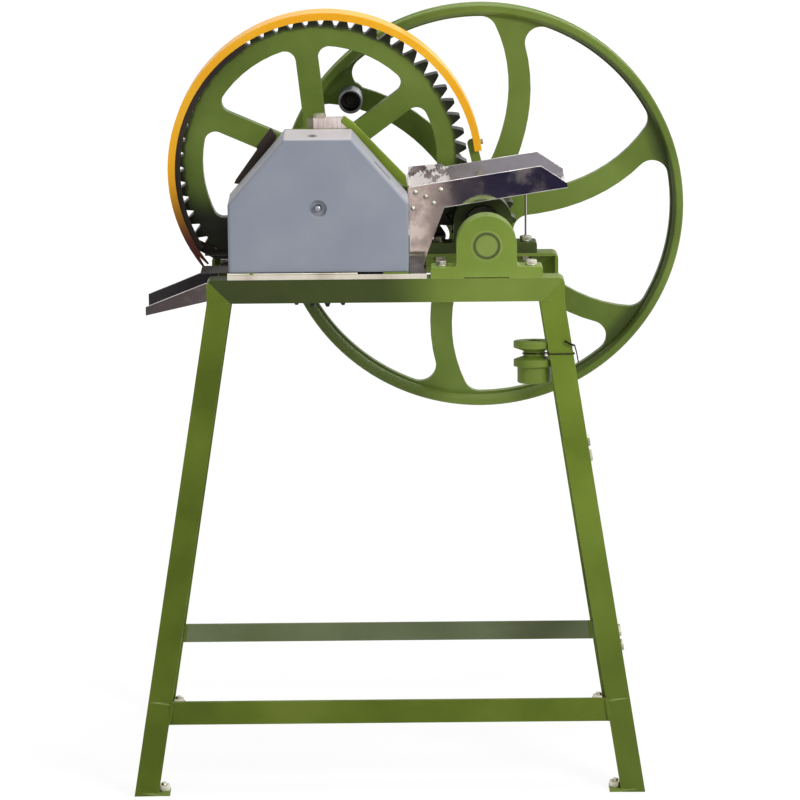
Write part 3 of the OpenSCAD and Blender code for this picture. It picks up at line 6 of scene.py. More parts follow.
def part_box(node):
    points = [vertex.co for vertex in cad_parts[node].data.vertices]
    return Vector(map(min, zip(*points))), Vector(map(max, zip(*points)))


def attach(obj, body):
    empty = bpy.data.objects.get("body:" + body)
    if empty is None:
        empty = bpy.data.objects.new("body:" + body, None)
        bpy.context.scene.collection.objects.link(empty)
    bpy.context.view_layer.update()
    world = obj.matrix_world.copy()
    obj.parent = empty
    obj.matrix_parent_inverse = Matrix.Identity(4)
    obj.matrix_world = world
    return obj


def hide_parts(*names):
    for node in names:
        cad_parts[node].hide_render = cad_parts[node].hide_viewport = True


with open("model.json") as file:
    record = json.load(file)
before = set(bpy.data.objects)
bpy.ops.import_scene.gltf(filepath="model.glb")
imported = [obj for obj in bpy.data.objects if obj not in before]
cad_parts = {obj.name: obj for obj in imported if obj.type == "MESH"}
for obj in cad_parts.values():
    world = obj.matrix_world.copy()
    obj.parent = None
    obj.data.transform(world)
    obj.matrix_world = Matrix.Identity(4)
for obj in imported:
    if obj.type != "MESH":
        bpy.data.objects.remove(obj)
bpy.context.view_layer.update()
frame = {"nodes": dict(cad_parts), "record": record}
nodes = frame["nodes"]
mm = 0.001
print("stage: frame loaded,", len(nodes), "nodes")


# places that several pieces share, read from the frame
def axisOf(node):
    # a point on the line along Y that a round node is centred on
    low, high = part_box(node)
    return Vector(((low.x + high.x) / 2, 0, (low.z + high.z) / 2))


beamLow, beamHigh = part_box("front_beam")
standMidX = (beamLow.x + beamHigh.x) / 2
standTop = beamHigh.z
frontY = beamLow.y
shaftAxis = axisOf("flywheel")
gearAxis = axisOf("top_roller")
gripAxis = axisOf("crank_grip")
shaftX = (shaftAxis.x - standMidX) / mm
millX = (gearAxis.x - standMidX) / mm
gearH = (gearAxis.z - standTop) / mm


def atStand(x, y, h):
    # millimetres from the stand's middle, from the front beam's face and from the stand's top
    return Vector((standMidX + x * mm, frontY + y * mm, standTop + h * mm))


# camera
photoView = {"tilt": 12.7, "turn": 0.3, "roll": 0.44, "distance": 6.0, "lens": 168.75, "film": 36,
             "near": 0.1, "far": 60,
             "aim": (21.5, 0, -197)}  # what the middle of the photo shows on the beam's face


def makeCamera():
    camera = bpy.data.objects.new("photoCamera", bpy.data.cameras.new("photoCamera"))
    bpy.context.collection.objects.link(camera)
    turn = Matrix.Rotation(math.radians(-photoView["turn"]), 4, "Z")
    turn = turn @ Matrix.Rotation(math.radians(90 - photoView["tilt"]), 4, "X")
    turn = turn @ Matrix.Rotation(math.radians(-photoView["roll"]), 4, "Z")
    place = atStand(*photoView["aim"]) + turn @ Vector((0, 0, photoView["distance"]))
    camera.matrix_world = Matrix.Translation(place) @ turn
    camera.data.lens = photoView["lens"]
    camera.data.sensor_width = photoView["film"]
    camera.data.clip_start = photoView["near"]
    camera.data.clip_end = photoView["far"]
    bpy.context.scene.camera = camera


makeCamera()


# colours and nodes
def linear(hexColour):
    # sRGB hex to the linear colour that the shaders take
    parts = [int(hexColour[i:i + 2], 16) / 255 for i in (1, 3, 5)]
    return tuple(c / 12.92 if c <= 0.04045 else ((c + 0.055) / 1.055) ** 2.4 for c in parts) + (1.0,)


def grey(value):
    return (value, value, value, 1.0)


def add(tree, kind, inputs=None, output=0, stops=(), **settings):
    # adds one node and gives an output of it; an input is a number, a colour or another node's output,
    # and stops are a colour ramp's places with their colours or greys
    made = tree.nodes.new("ShaderNode" + kind)
    for name, value in settings.items():
        setattr(made, name, value)
    for name, value in (inputs or {}).items():
        if isinstance(value, bpy.types.NodeSocket):
            tree.links.new(value, made.inputs[name])
        else:
            made.inputs[name].default_value = value
    if stops:
        elements = made.color_ramp.elements
        while len(elements) < len(stops):
            elements.new(0.5)
        for element, (place, colour) in zip(elements, stops):
            element.position = place
            element.color = colour if isinstance(colour, tuple) else grey(colour)
    return made.outputs[output] if made.outputs else None


def newMaterial(name):
    material = bpy.data.materials.new(name)
    material.use_nodes = True
    material.node_tree.nodes.clear()
    return material, material.node_tree, add(material.node_tree, "TexCoord", output="Object")


def mottled(tree, where, spots, *stops):
    # a noise that is cut to shades or colours at its stops
    noise = add(tree, "TexNoise", {"Vector": where, **spots})
    return add(tree, "ValToRGB", {"Fac": noise}, stops=stops)


def fromAxis(tree, where, axis):
    # distance in metres from a line along Y
    apart = add(tree, "VectorMath", {0: where, 1: axis}, operation="SUBTRACT")
    flat = add(tree, "VectorMath", {0: apart, 1: (1, 0, 1)}, operation="MULTIPLY")
    return add(tree, "VectorMath", {0: flat}, output="Value", operation="LENGTH")


def reach(tree, where, axis, start, full):
    # 0 to 1 as a coordinate goes from start to full, both in the stand's millimetres
    zero = {"X": standMidX, "Y": frontY, "Z": standTop}[axis]
    return add(tree, "MapRange", {
        "Value": add(tree, "SeparateXYZ", {0: where}, output=axis),
        "From Min": zero + start * mm, "From Max": zero + full * mm}, interpolation_type="SMOOTHSTEP")


def edgeMask(tree, radius):
    # white where a sharp edge is nearer than a radius in millimetres
    rounded = add(tree, "Bevel", {"Radius": radius * mm}, samples=4)
    plain = add(tree, "NewGeometry", output="Normal")
    facing = add(tree, "VectorMath", {0: rounded, 1: plain}, output="Value", operation="DOT_PRODUCT")
    return add(tree, "ValToRGB", {"Fac": facing}, stops=[(0.86, 1), (0.985, 0)])


# patterns: Scale counts the swells in a metre, so that 7 is a swell of 140 mm
grain = {
    "brushDrift": {"Scale": 7.0, "Detail": 3.0},
    "dust": {"Scale": 70.0, "Detail": 6.0, "Roughness": 0.7},
    "rubbedPlaces": {"Scale": 38.0, "Detail": 4.0},
    "chips": {"Scale": 160.0, "Detail": 4.0, "Roughness": 0.6},
    "orangePeel": {"Scale": 260.0},  # about 1 mm on real paint, drawn at 4 mm so that it shows
    "brushMarks": {"Scale": 45.0, "Detail": 5.0},
    "metalClouds": {"Scale": 22.0, "Detail": 5.0},
    "fingerMarks": {"Scale": 30.0, "Detail": 6.0, "Roughness": 0.6},
    "toothSmear": {"Scale": 40.0, "Detail": 3.0},
    "chipRim": {"Scale": 300.0, "Detail": 3.0},
    "throatGlints": {"Scale": 52.0, "Detail": 4.0, "Roughness": 0.6},
    "dents": {"Scale": 1 / (120.0 * mm), "Detail": 1.0},
    "faceDrift": {"Scale": 9.0, "Detail": 3.0},
    "faceMetal": {"Scale": 30.0, "Detail": 4.0},
    "faceBrush": {"Scale": 90.0, "Detail": 3.0},
}
drawn = {  # patterns that run one way are stretched first, to these swells in a metre
    "metal": 0.25 / (0.4 * mm), "metalAlong": 6.0,  # the grain is 0.4 mm, drawn four times as wide to show
    "scratches": (8.0, 700.0, 700.0),  # hair-fine on the real sheet, drawn 1.4 mm wide to show
}


# stains and painted light and shade: each lays itself on a material and gives its mask and its colour
def patch(colour, *spans, ring=None, strength=None, mottle=None):
    # a mark that sets in along every span and round an axis, mottled where a noise and its stops are given;
    # some are stains, some painted light or shade
    def laid(tree, where):
        masks = []
        if ring:
            masks.append(add(tree, "ValToRGB", {"Fac": fromAxis(tree, where, ring[0])}, stops=ring[1:]))
        masks += [reach(tree, where, *span) for span in spans]
        if mottle:
            masks.append(mottled(tree, where, *mottle))
        if strength is not None:
            masks.append(strength)
        whole = masks[0]
        for mask in masks[1:]:
            whole = add(tree, "Math", {0: whole, 1: mask}, operation="MULTIPLY")
        return whole, linear(colour)
    return laid


# painted shadow: the cover's shadow darkens the beam's face under it, mottled
coverShadowOnBeam = patch("#1d210c", ("X", 120, -20),
                    mottle=({"Scale": 9.0, "Detail": 4.0}, (0.3, 0.88), (0.7, 0.76)))
# the rear beam is drawn near black in a patch below the chute
darkPatchOnRearBeam = patch("#15120d", ("X", -200, -232), ("Z", -46, -34))
# painted shade: the rear bar lies in more shade towards the wheel's side
shadeTowardsWheelSide = patch("#2c2e24", ("X", -120, 230), strength=0.3)
# painted shade: the right legs grow darker towards the ground
shadeTowardsGround = patch("#2f3a06", ("Z", -260, -760), strength=0.5)
# the housing's low left corner, above the chute, is drawn near black
darkPatchLowLeft = patch("#14110d", ("Z", 96, 50), ("X", -214, -240))
# painted shade: the rear pillow block, behind the front one, is drawn dark and mottled
shadeOnRearBlock = patch("#1b1b10", mottle=({"Scale": 26.0, "Detail": 4.0}, (0.3, 0.86), (0.75, 0.55)))
# painted shadow: the housing's shadow falls on the gear's low side, mottled
housingShadowOnGear = patch("#15160f", ("Z", 112, 52), mottle=({"Scale": 12.0, "Detail": 3.0}, (0.3, 0.9), (0.7, 1)))
# the small pinion is greasy all over, with paint showing through in places
greaseOnPinion = patch("#15150e", mottle=({"Scale": 60.0, "Detail": 3.0}, (0.3, 0.55), (0.6, 0.95)))
# painted shade: the left hood, turned from the lamps, is drawn near black but for a few paler places
shadeOnLeftHood = patch("#15130f", mottle=({"Scale": 24.0, "Detail": 4.0}, (0.3, 0.97), (0.75, 0.6)))
# painted shade: the glossy guard turns brown towards its low end, where light and reflections fail
shadeOnGuardLowEnd = patch("#5a241c", ("Z", 128, 10))
# the dark lip of the slot in the cover's right slope
slotShadow = patch("#24262b", ("X", millX + 90, millX + 91), ("X", millX + 115, millX + 114),
                   ("Y", 39.5, 41), ("Y", 51, 49.5))
# the tray is drawn dark brown behind its front lip, which stays bright
darkBehindTrayLip = patch("#2d2727", ("Y", 2, 6), strength=0.93)
# the chute's far wall is drawn near black
darkOnChuteFarWall = patch("#0f0c0d", ("Y", 196, 208), strength=0.92)
# the trough's far wall is dulled towards its mouth, and painted white glints at the throat stand for its
# highlights
dullInTrough = patch("#87848e", ("X", 70, 200), strength=0.8)
paintedGlintsAtThroat = patch("#f3eeec", ("X", 122, 98), mottle=(grain["throatGlints"], (0.47, 0), (0.52, 1)))
# painted shade: the sawn cap's left end is drawn olive grey
shadeOnCapLeftEnd = patch("#7f7c68", ("X", millX - 6.5, millX - 8.5))
# painted shade: the inside of the wheel's rim is drawn dark on its right side, where it faces away from the
# light
shadeInsideRim = patch("#20260f", ("X", shaftX + 40, shaftX + 190), strength=0.62,
                       ring=(shaftAxis, (0.296, 0), (0.312, 1), (0.327, 1), (0.332, 0)))
# old grease has dulled the low left side of the rim, seen under the beam
greaseLowOnRim = patch("#262c18", ("X", shaftX - 40, shaftX - 190), ("Z", 40, -60), strength=0.45,
                       ring=(shaftAxis, (0.3, 0), (0.312, 1)))
# painted shade: the grip's bore is drawn black
shadeInBore = patch("#070707", ring=(gripAxis, (0.0156, 1), (0.0158, 0)))


def greaseAndShadowOnGear(tree, where):
    # black open-gear grease between and on the teeth, smeared a little way down the rim, and the housing's
    # painted shadow on the low side
    smear = add(tree, "TexNoise", {"Vector": where, **grain["toothSmear"]})
    uneven = add(tree, "Math", {0: smear, 1: 0.012}, operation="MULTIPLY")
    deep = add(tree, "Math", {0: fromAxis(tree, where, gearAxis), 1: uneven}, operation="ADD")
    teeth = add(tree, "ValToRGB", {"Fac": deep}, stops=[(0.2265, 0), (0.2320, 0.93)])
    castShadow, colour = housingShadowOnGear(tree, where)
    return add(tree, "Math", {0: teeth, 1: castShadow}, operation="MAXIMUM"), colour


def paintedLightOnTop(tree, where):
    # painted light: faces that look up are drawn paler and warmer, as lit from above
    up = add(tree, "SeparateXYZ", {0: add(tree, "NewGeometry", output="Normal")}, output="Z")
    return add(tree, "ValToRGB", {"Fac": up}, stops=[(0.45, 0), (0.62, 0.18), (0.9, 0.62)]), linear("#dad0ce")


def chipOnCover(tree, where):
    # one deep ragged chip on the cover's top
    apart = add(tree, "VectorMath", {0: where, 1: atStand(-114, 36, 225)}, operation="SUBTRACT")
    squeezed = add(tree, "VectorMath", {0: apart, 1: (1.0, 0.5, 1.0)}, operation="MULTIPLY")
    away = add(tree, "VectorMath", {0: squeezed}, output="Value", operation="LENGTH")
    rim = add(tree, "TexNoise", {"Vector": where, **grain["chipRim"]})
    uneven = add(tree, "Math", {0: rim, 1: 0.006}, operation="MULTIPLY")
    ragged = add(tree, "Math", {0: away, 1: uneven}, operation="ADD")
    return add(tree, "ValToRGB", {"Fac": ragged}, stops=[(0.0075, 0.92), (0.009, 0)]), linear("#34322f")


def dullFilmAndGlintsInTrough(tree, where):
    # the dull film and the painted glints, on the far wall alone
    dull, dullColour = dullInTrough(tree, where)
    throatGlints, glintColour = paintedGlintsAtThroat(tree, where)
    both = add(tree, "Math", {0: dull, 1: throatGlints}, operation="MAXIMUM")
    farWall = add(tree, "Math", {0: reach(tree, where, "Y", 200, 246), 1: both}, operation="MULTIPLY")
    return farWall, add(tree, "Mix", {0: throatGlints, 6: dullColour, 7: glintColour}, output=2, data_type="RGBA")


# materials
def enamelPaint(name, colour, darker, paler, roughness=0.36, grit=0.5, wear=0.35, edge="#a9b573",
                bare="#332f28", gloss=0.26, stainsAndShade=()):
    # gloss enamel brushed on rolled or cast iron: the colour drifts slowly, the skin has orange peel and
    # brush marks, dust dulls it, and its edges are rubbed pale and chipped; the pale edges are also the
    # painted highlight that edges catch
    material, tree, where = newMaterial(name)
    final = mottled(tree, where, grain["brushDrift"],
                    (0.32, linear(darker)), (0.5, linear(colour)), (0.7, linear(paler)))
    dust = add(tree, "TexNoise", {"Vector": where, **grain["dust"]})
    dusted = add(tree, "ValToRGB", {"Fac": dust}, stops=[(0.56, 0), (0.82, 0.3)])
    rubPlaces = mottled(tree, where, grain["rubbedPlaces"], (0.42, 0.12), (0.62, 0.75 * min(1, wear * 2)))
    wornAndLitEdges = add(tree, "Math", {0: edgeMask(tree, 1.6), 1: rubPlaces}, operation="MULTIPLY")
    chipped = mottled(tree, where, grain["chips"], (0.7 + 0.12 * (1 - wear), 0), (0.86, 1))
    layers = [(dusted, linear(paler)), (wornAndLitEdges, linear(edge)), (chipped, linear(bare))]
    for mask, over in layers + [laidOn(tree, where) for laidOn in stainsAndShade]:
        final = add(tree, "Mix", {0: mask, 6: final, 7: over}, output=2, data_type="RGBA")
    rough = add(tree, "ValToRGB", {"Fac": dust}, stops=[(0.3, roughness), (0.75, roughness + 0.22)])
    fine = add(tree, "Bump", {"Height": add(tree, "TexNoise", {"Vector": where, **grain["orangePeel"]}),
                              "Strength": 0.16 * grit, "Distance": 0.0006})
    coarse = add(tree, "Bump", {"Height": add(tree, "TexNoise", {"Vector": where, **grain["brushMarks"]}),
                                "Strength": 0.5 * grit, "Distance": 0.002, "Normal": fine})
    add(tree, "OutputMaterial", {"Surface": add(tree, "BsdfPrincipled", {
        "Base Color": final, "Roughness": rough, "Normal": coarse, "IOR": 1.5, "Specular IOR Level": gloss})})
    return material


def bareMetal(name, colour, darker, roughness, grainAxis=None, bump=0.12, cloud=0.3, laidMark=None):
    # plain metal: faint clouds, a grain where it was turned, drawn or brushed, and a laid-on mark where the
    # mask says, painted shade in the grip's bore and at the cap's end
    material, tree, where = newMaterial(name)
    clouds = add(tree, "TexNoise", {"Vector": where, **grain["metalClouds"]})
    tint = add(tree, "ValToRGB", {"Fac": clouds},
               stops=[(0.5 - cloud / 2, linear(darker)), (0.62, linear(colour))])
    if laidMark is not None:
        mask, laidColour = laidMark(tree, where)
        tint = add(tree, "Mix", {0: mask, 6: tint, 7: laidColour}, output=2, data_type="RGBA")
    rough = add(tree, "ValToRGB", {"Fac": clouds}, stops=[(0.35, roughness + 0.14), (0.65, roughness)])
    scale = [drawn["metal"]] * 3
    if grainAxis is not None:
        scale[grainAxis] = drawn["metalAlong"]
    stretched = add(tree, "Mapping", {"Vector": where, "Scale": tuple(scale)})
    height = add(tree, "TexNoise", {"Vector": stretched, "Scale": 1.0, "Detail": 3.0})
    bumped = add(tree, "Bump", {"Height": height, "Strength": bump, "Distance": 0.0004})
    add(tree, "OutputMaterial", {"Surface": add(tree, "BsdfPrincipled", {
        "Base Color": tint, "Metallic": 1.0, "Roughness": rough, "Normal": bumped})})
    return material


def mirrorSheet(name, colour, smeared, roughness=0.05, film=None, filmRough=0.3):
    # bright rolled stainless sheet: a mirror with soft dents 120 mm wide, fine scratches and finger marks
    material, tree, where = newMaterial(name)
    marks = add(tree, "TexNoise", {"Vector": where, **grain["fingerMarks"]})
    tint = add(tree, "ValToRGB", {"Fac": marks}, stops=[(0.42, linear(colour)), (0.72, linear(smeared))])
    rough = add(tree, "ValToRGB", {"Fac": marks}, stops=[(0.45, roughness), (0.72, roughness + 0.12)])
    metallic = 1.0
    # a film laid over the mirror where its mask says: a dull juice film and painted glints in the trough, a
    # near-black far wall in the chute
    if film is not None:
        mask, filmColour = film(tree, where)
        tint = add(tree, "Mix", {0: mask, 6: tint, 7: filmColour}, output=2, data_type="RGBA")
        rough = add(tree, "Mix", {0: mask, 6: rough, 7: grey(filmRough)}, output=2, data_type="RGBA")
        covered = add(tree, "Math", {0: mask, 1: 0.75}, operation="MULTIPLY")
        metallic = add(tree, "Math", {0: 1.0, 1: covered}, operation="SUBTRACT")
    dents = add(tree, "TexNoise", {"Vector": where, **grain["dents"]})
    soft = add(tree, "Bump", {"Height": dents, "Strength": 0.3, "Distance": 0.004})
    along = add(tree, "Mapping", {"Vector": where, "Scale": drawn["scratches"]})
    sharp = add(tree, "Bump", {"Height": add(tree, "TexNoise", {"Vector": along, "Scale": 1.0}),
                               "Strength": 0.04, "Distance": 0.0003, "Normal": soft})
    add(tree, "OutputMaterial", {"Surface": add(tree, "BsdfPrincipled", {
        "Base Color": tint, "Metallic": metallic, "Roughness": rough, "Normal": sharp})})
    return material


def paintedOver(name, under, underDark, metallic):
    # bronze or steel whose face was painted green with the pillow block, dark in the gap round the shaft
    material, tree, where = newMaterial(name)
    y = add(tree, "SeparateXYZ", {0: where}, output="Y")
    depth = add(tree, "Math", {0: y, 1: -frontY}, operation="ADD")
    near = add(tree, "ValToRGB", {"Fac": depth}, stops=[(0.0035, 1), (0.0045, 0)])
    # this green matches the block's paler green, which is painted light
    green = mottled(tree, where, grain["faceDrift"], (0.32, linear("#768b33")), (0.7, linear("#869b44")))
    bare = mottled(tree, where, grain["faceMetal"], (0.35, linear(underDark)), (0.65, linear(under)))
    gap = add(tree, "ValToRGB", {"Fac": fromAxis(tree, where, shaftAxis)},
              stops=[(0.0188, 0), (0.0196, 1), (0.0208, 1), (0.0214, 0)])
    painted = add(tree, "Mix", {0: gap, 6: green, 7: linear("#1b210c")}, output=2, data_type="RGBA")
    both = add(tree, "Mix", {0: near, 6: bare, 7: painted}, output=2, data_type="RGBA")
    covered = add(tree, "Math", {0: near, 1: -metallic}, operation="MULTIPLY")
    metal = add(tree, "Math", {0: covered, 1: metallic}, operation="ADD")
    brush = add(tree, "Bump", {"Height": add(tree, "TexNoise", {"Vector": where, **grain["faceBrush"]}),
                               "Strength": 0.3, "Distance": 0.0008})
    add(tree, "OutputMaterial", {"Surface": add(tree, "BsdfPrincipled", {
        "Base Color": both, "Metallic": metal, "Roughness": 0.42, "Normal": brush})})
    return material


paints = {
    "green": dict(colour="#6e8230", darker="#627527", paler="#7a8c3a"),
    "legs": dict(colour="#5b6b1c", darker="#4f5e15", paler="#667526", gloss=0.16),
    "casting": dict(colour="#6a7f31", darker="#5e7229", paler="#778b3e", grit=1.0),
    "wheel": dict(colour="#687c30", darker="#5c7029", paler="#74883b", grit=0.4, wear=0.05),
    "litRightLegs": dict(colour="#6a7e26", darker="#5f721d", paler="#758930", gloss=0.2),
    "rearBar": dict(colour="#6e7856", darker="#666f4c", paler="#7a8462", gloss=0.18),
    "block": dict(colour="#7a9038", darker="#6f852f", paler="#869b44", grit=1.0),
    # the flange's pale, much-rubbed edge stands for the highlight along it, painted light
    "flange": dict(colour="#718522", darker="#66781c", paler="#7f9430", edge="#d8dc7c", wear=0.9),
    "tarAndShade": dict(colour="#2a221c", darker="#1a1512", paler="#3c3027", roughness=0.5, edge="#7d6c5c",
                bare="#0f0d0b"),
    "grey": dict(colour="#8f95a1", darker="#888e9a", paler="#979ca7", roughness=0.42, grit=0.7, wear=0.1,
                 edge="#c9ccd2"),
    "orange": dict(colour="#fab41c", darker="#f5aa12", paler="#fdc034", roughness=0.28, grit=0.2, wear=0.1,
                   edge="#ffd070"),
}
# enamel is smooth on angle iron, lumpy on castings and duller on the legs; the left legs, the front stretcher
# and the welds are drawn darker as painted shade, and the right legs paler as painted light
greenEnamel = enamelPaint("greenEnamelOnAngleIron", **paints["green"])
greenCasting = enamelPaint("greenEnamelOnCasting", **paints["casting"])
shadedLegEnamel = enamelPaint("shadedEnamelOnLegs", **paints["legs"])
litRightLegEnamel = enamelPaint("litEnamelOnRightLegs", **paints["litRightLegs"], stainsAndShade=[shadeTowardsGround])
rearBarEnamel = enamelPaint("dustyEnamelShadedOnRearBar", **paints["rearBar"], stainsAndShade=[shadeTowardsWheelSide])
rearBeamEnamel = enamelPaint("enamelDarkenedOnRearBeam", **paints["green"], stainsAndShade=[darkPatchOnRearBeam])
beamEnamel = enamelPaint("enamelShadowedByCoverOnBeam", **paints["green"], stainsAndShade=[coverShadowOnBeam])
# painted light: the front pillow block's enamel is paler than the rest, for the key light on it
litBlockEnamel = enamelPaint("litEnamelOnBlock", **paints["block"])
cheekEnamel = enamelPaint("enamelDarkLowLeftOnCheek", **paints["casting"], stainsAndShade=[darkPatchLowLeft])
shadedRearBlockEnamel = enamelPaint("shadedEnamelOnRearBlock", **paints["casting"], stainsAndShade=[shadeOnRearBlock])
wheelEnamel = enamelPaint("enamelOnFlywheel", **paints["wheel"], stainsAndShade=[shadeInsideRim, greaseLowOnRim])
gearEnamel = enamelPaint("greasedAndShadowedEnamelOnGear", **paints["casting"], stainsAndShade=[greaseAndShadowOnGear])
pinionEnamel = enamelPaint("greasedEnamelOnPinion", **paints["casting"], stainsAndShade=[greaseOnPinion])
shadedLeftHoodEnamel = enamelPaint("shadedEnamelOnLeftHood", **paints["green"], stainsAndShade=[shadeOnLeftHood])
greyEnamel = enamelPaint("greyEnamelOnCover", **paints["grey"], stainsAndShade=[paintedLightOnTop, slotShadow, chipOnCover])
orangeEnamel = enamelPaint("orangeEnamelShadedLowOnGuard", **paints["orange"], stainsAndShade=[shadeOnGuardLowEnd])
litFlangeGreen = enamelPaint("enamelLitAlongEdgeOnFlange", **paints["flange"])
# near-black tar enamel; on the crank pin deep in the grip's bore, the left hood's flange and the strip behind
# the guard's lip it is painted shade
blackTarAndShade = enamelPaint("caneTarAndPaintedShadeOnSteel", **paints["tarAndShade"])
# zinc is a pale clouded satin, turned and drawn steel are greyer, and wire is black from the fire
zincPlate = bareMetal("zincPlatedSteel", "#e2dfd0", "#a9a48f", 0.26, cloud=0.2)
turnedSteel = bareMetal("turnedSteel", "#b9bbbf", "#85878c", 0.3)
tubeSteel = bareMetal("drawnTubeSteel", "#9b9da1", "#6b6d72", 0.26, grainAxis=1, laidMark=shadeInBore)
bronzeBush = bareMetal("bronzeBush", "#b08a4e", "#7d6136", 0.35)
blackWire = bareMetal("annealedWire", "#3a3835", "#23211f", 0.5)
# stainless is a mirror where it was rolled, a satin on the tray and streaked where the cap was sawn
trayStainless = bareMetal("satinStainlessTray", "#f2eddc", "#cfc5b4", 0.34, grainAxis=0, laidMark=darkBehindTrayLip)
hemSteel = bareMetal("brightStainlessHem", "#e6e2df", "#b3adab", 0.25)
capStainless = bareMetal("sawnStainless", "#f3eae6", "#cfbfbb", 0.3, grainAxis=2, bump=0.3, laidMark=shadeOnCapLeftEnd)
stainless = mirrorSheet("mirrorStainless", "#dedbdc", "#bdb0ac")
troughStainless = mirrorSheet("juiceDulledStainlessWithPaintedGlints", "#dedbdc", "#bdb0ac", film=dullFilmAndGlintsInTrough, filmRough=0.42)
chuteStainless = mirrorSheet("stainlessDarkOnFarWall", "#cfcdd2", "#a79c9a", film=darkOnChuteFarWall)
paintedBush = paintedOver("bronzeBushWithPaintedFace", "#b08a4e", "#7d6136", 1.0)
# the shaft between the blocks is drawn dark olive, for grease and painted shade
paintedShaft = paintedOver("greasyShadedShaftWithPaintedEnd", "#45483a", "#23251b", 0.8)

finishOf = {
    "green_paint": greenEnamel, "green_casting": greenCasting, "zinc": zincPlate, "stainless": stainless,
    "steel": turnedSteel, "bronze": bronzeBush, "grey_paint": greyEnamel, "orange_paint": orangeEnamel,
    "black_wire": blackWire,
}
finishOfNode = {  # nodes whose look differs from the rest of their slot
    "bull_gear": gearEnamel, "flywheel": wheelEnamel, "front_beam": beamEnamel,
    "pillow_block_front": litBlockEnamel, "pillow_block_rear": shadedRearBlockEnamel, "front_cheek": cheekEnamel,
    "rear_cheek": cheekEnamel, "bed_bars": cheekEnamel, "guard_bracket": blackTarAndShade,
    # the crank pin, deep in the grip's bore, is finished black as painted shade
    "drip_tray": trayStainless, "crank_pin": blackTarAndShade, "leg_front_left": shadedLegEnamel,
    "leg_front_right": litRightLegEnamel, "leg_rear_left": shadedLegEnamel, "leg_rear_right": litRightLegEnamel,
    "front_stretcher": shadedLegEnamel, "rear_stretcher": rearBarEnamel, "rear_beam": rearBeamEnamel,
    "feed_trough": troughStainless, "juice_chute": chuteStainless, "pinion": pinionEnamel,
    "hood_left": shadedLeftHoodEnamel, "crank_grip": tubeSteel, "pillow_bushes": paintedBush,
    "drive_shaft": paintedShaft, "top_cap": capStainless,
}
slotOf = {part["node"]: part["material_slot"] for part in frame["record"]["subparts"]}
print("stage: materials made")


# finish on the CAD nodes
edgeRadius = {  # rounded edge in millimetres; the rest take the default
    "default": 0.8, "flywheel": 0.0, "bull_gear": 1.0, "gear_cover": 1.8, "pillow_block_front": 2.0,
    "pillow_block_rear": 2.0, "feed_trough": 0.3, "juice_chute": 0.3, "drip_tray": 0.3, "gear_guard": 0.4,
    "trough_rivets": 0.0, "pulley_tie_wire": 0.0, "chute_hangers": 0.4, "drive_keys": 0.3,
    "bull_gear_key": 0.3, "crank_grip": 0.9, "roller_bushes": 0.3, "pillow_bushes": 0.3, "drive_shaft": 0.4,
    "motor_pulley": 1.2, "trough_stay": 0.2,
}
flatNodes = {"gear_cover", "hood_left", "hood_right", "front_beam", "rear_beam", "feed_trough", "top_plate"}
curvedNodes = {"flywheel"}  # blended castings whose own normals show no folds
softening = {"joinedWithin": 1e-6, "flatWithin": 0.5, "sharpFrom": 32, "steps": 2, "flatWeight": 60}


def softenEdges(name, piece):
    # joins the loose triangles, then rounds the sharp edges without touching the mesh itself
    weld = piece.modifiers.new("weld", "WELD")
    weld.merge_threshold = softening["joinedWithin"]
    if name in flatNodes:
        flats = piece.modifiers.new("mergedFlats", "DECIMATE")
        flats.decimate_type = "DISSOLVE"
        flats.angle_limit = math.radians(softening["flatWithin"])
    radius = edgeRadius.get(name, edgeRadius["default"])
    if radius > 0:
        bevel = piece.modifiers.new("roundedEdges", "BEVEL")
        bevel.width = radius * mm
        bevel.segments = softening["steps"]
        bevel.limit_method = "ANGLE"
        bevel.angle_limit = math.radians(softening["sharpFrom"])
    if name not in curvedNodes:
        smooth = piece.modifiers.new("evenNormals", "WEIGHTED_NORMAL")
        smooth.keep_sharp = False
        smooth.weight = softening["flatWeight"]


for name, piece in nodes.items():
    finish = finishOfNode.get(name, finishOf[slotOf[name]])
    if not piece.material_slots:
        piece.data.materials.append(finish)
    for materialSlot in piece.material_slots:
        materialSlot.material = finish
    softenEdges(name, piece)
print("stage: CAD nodes finished")


# modelling helpers
def alone(piece):
    # the only piece that is selected, and the active one
    bpy.ops.object.select_all(action="DESELECT")
    piece.select_set(True)
    bpy.context.view_layer.objects.active = piece


def editAll():
    # edit mode with the whole mesh selected
    bpy.ops.object.mode_set(mode="EDIT")
    bpy.ops.mesh.select_all(action="SELECT")


def startPiece(name, maker, **settings):
    # one primitive at its size, alone in the selection
    bpy.ops.object.select_all(action="DESELECT")
    maker(**settings)
    piece = bpy.context.active_object
    piece.name = piece.data.name = name
    return piece


def selectFaces(test):
    # edit mode: faces picked by their middle and their normal
    bpy.ops.mesh.select_mode(type="FACE")
    bpy.ops.mesh.select_all(action="DESELECT")
    mesh = bmesh.from_edit_mesh(bpy.context.active_object.data)
    for face in mesh.faces:
        face.select_set(bool(test(face.calc_center_median(), face.normal)))
    bmesh.update_edit_mesh(bpy.context.active_object.data)


def push(away, size=1.0):
    # extrudes what is selected along Z and resizes its end
    bpy.ops.mesh.extrude_region_move(TRANSFORM_OT_translate={"value": (0, 0, away * mm)})
    if size != 1.0:
        bpy.ops.transform.resize(value=(size, size, 1))


def moved(piece, place):
    # moves the mesh in its object; a place that the object itself has is added later, by dress
    piece.data.transform(place)
    piece.data.update()
    return piece


def another(model, name):
    made = model.copy()
    made.data = model.data.copy()
    made.name = made.data.name = name
    bpy.context.collection.objects.link(made)
    return made


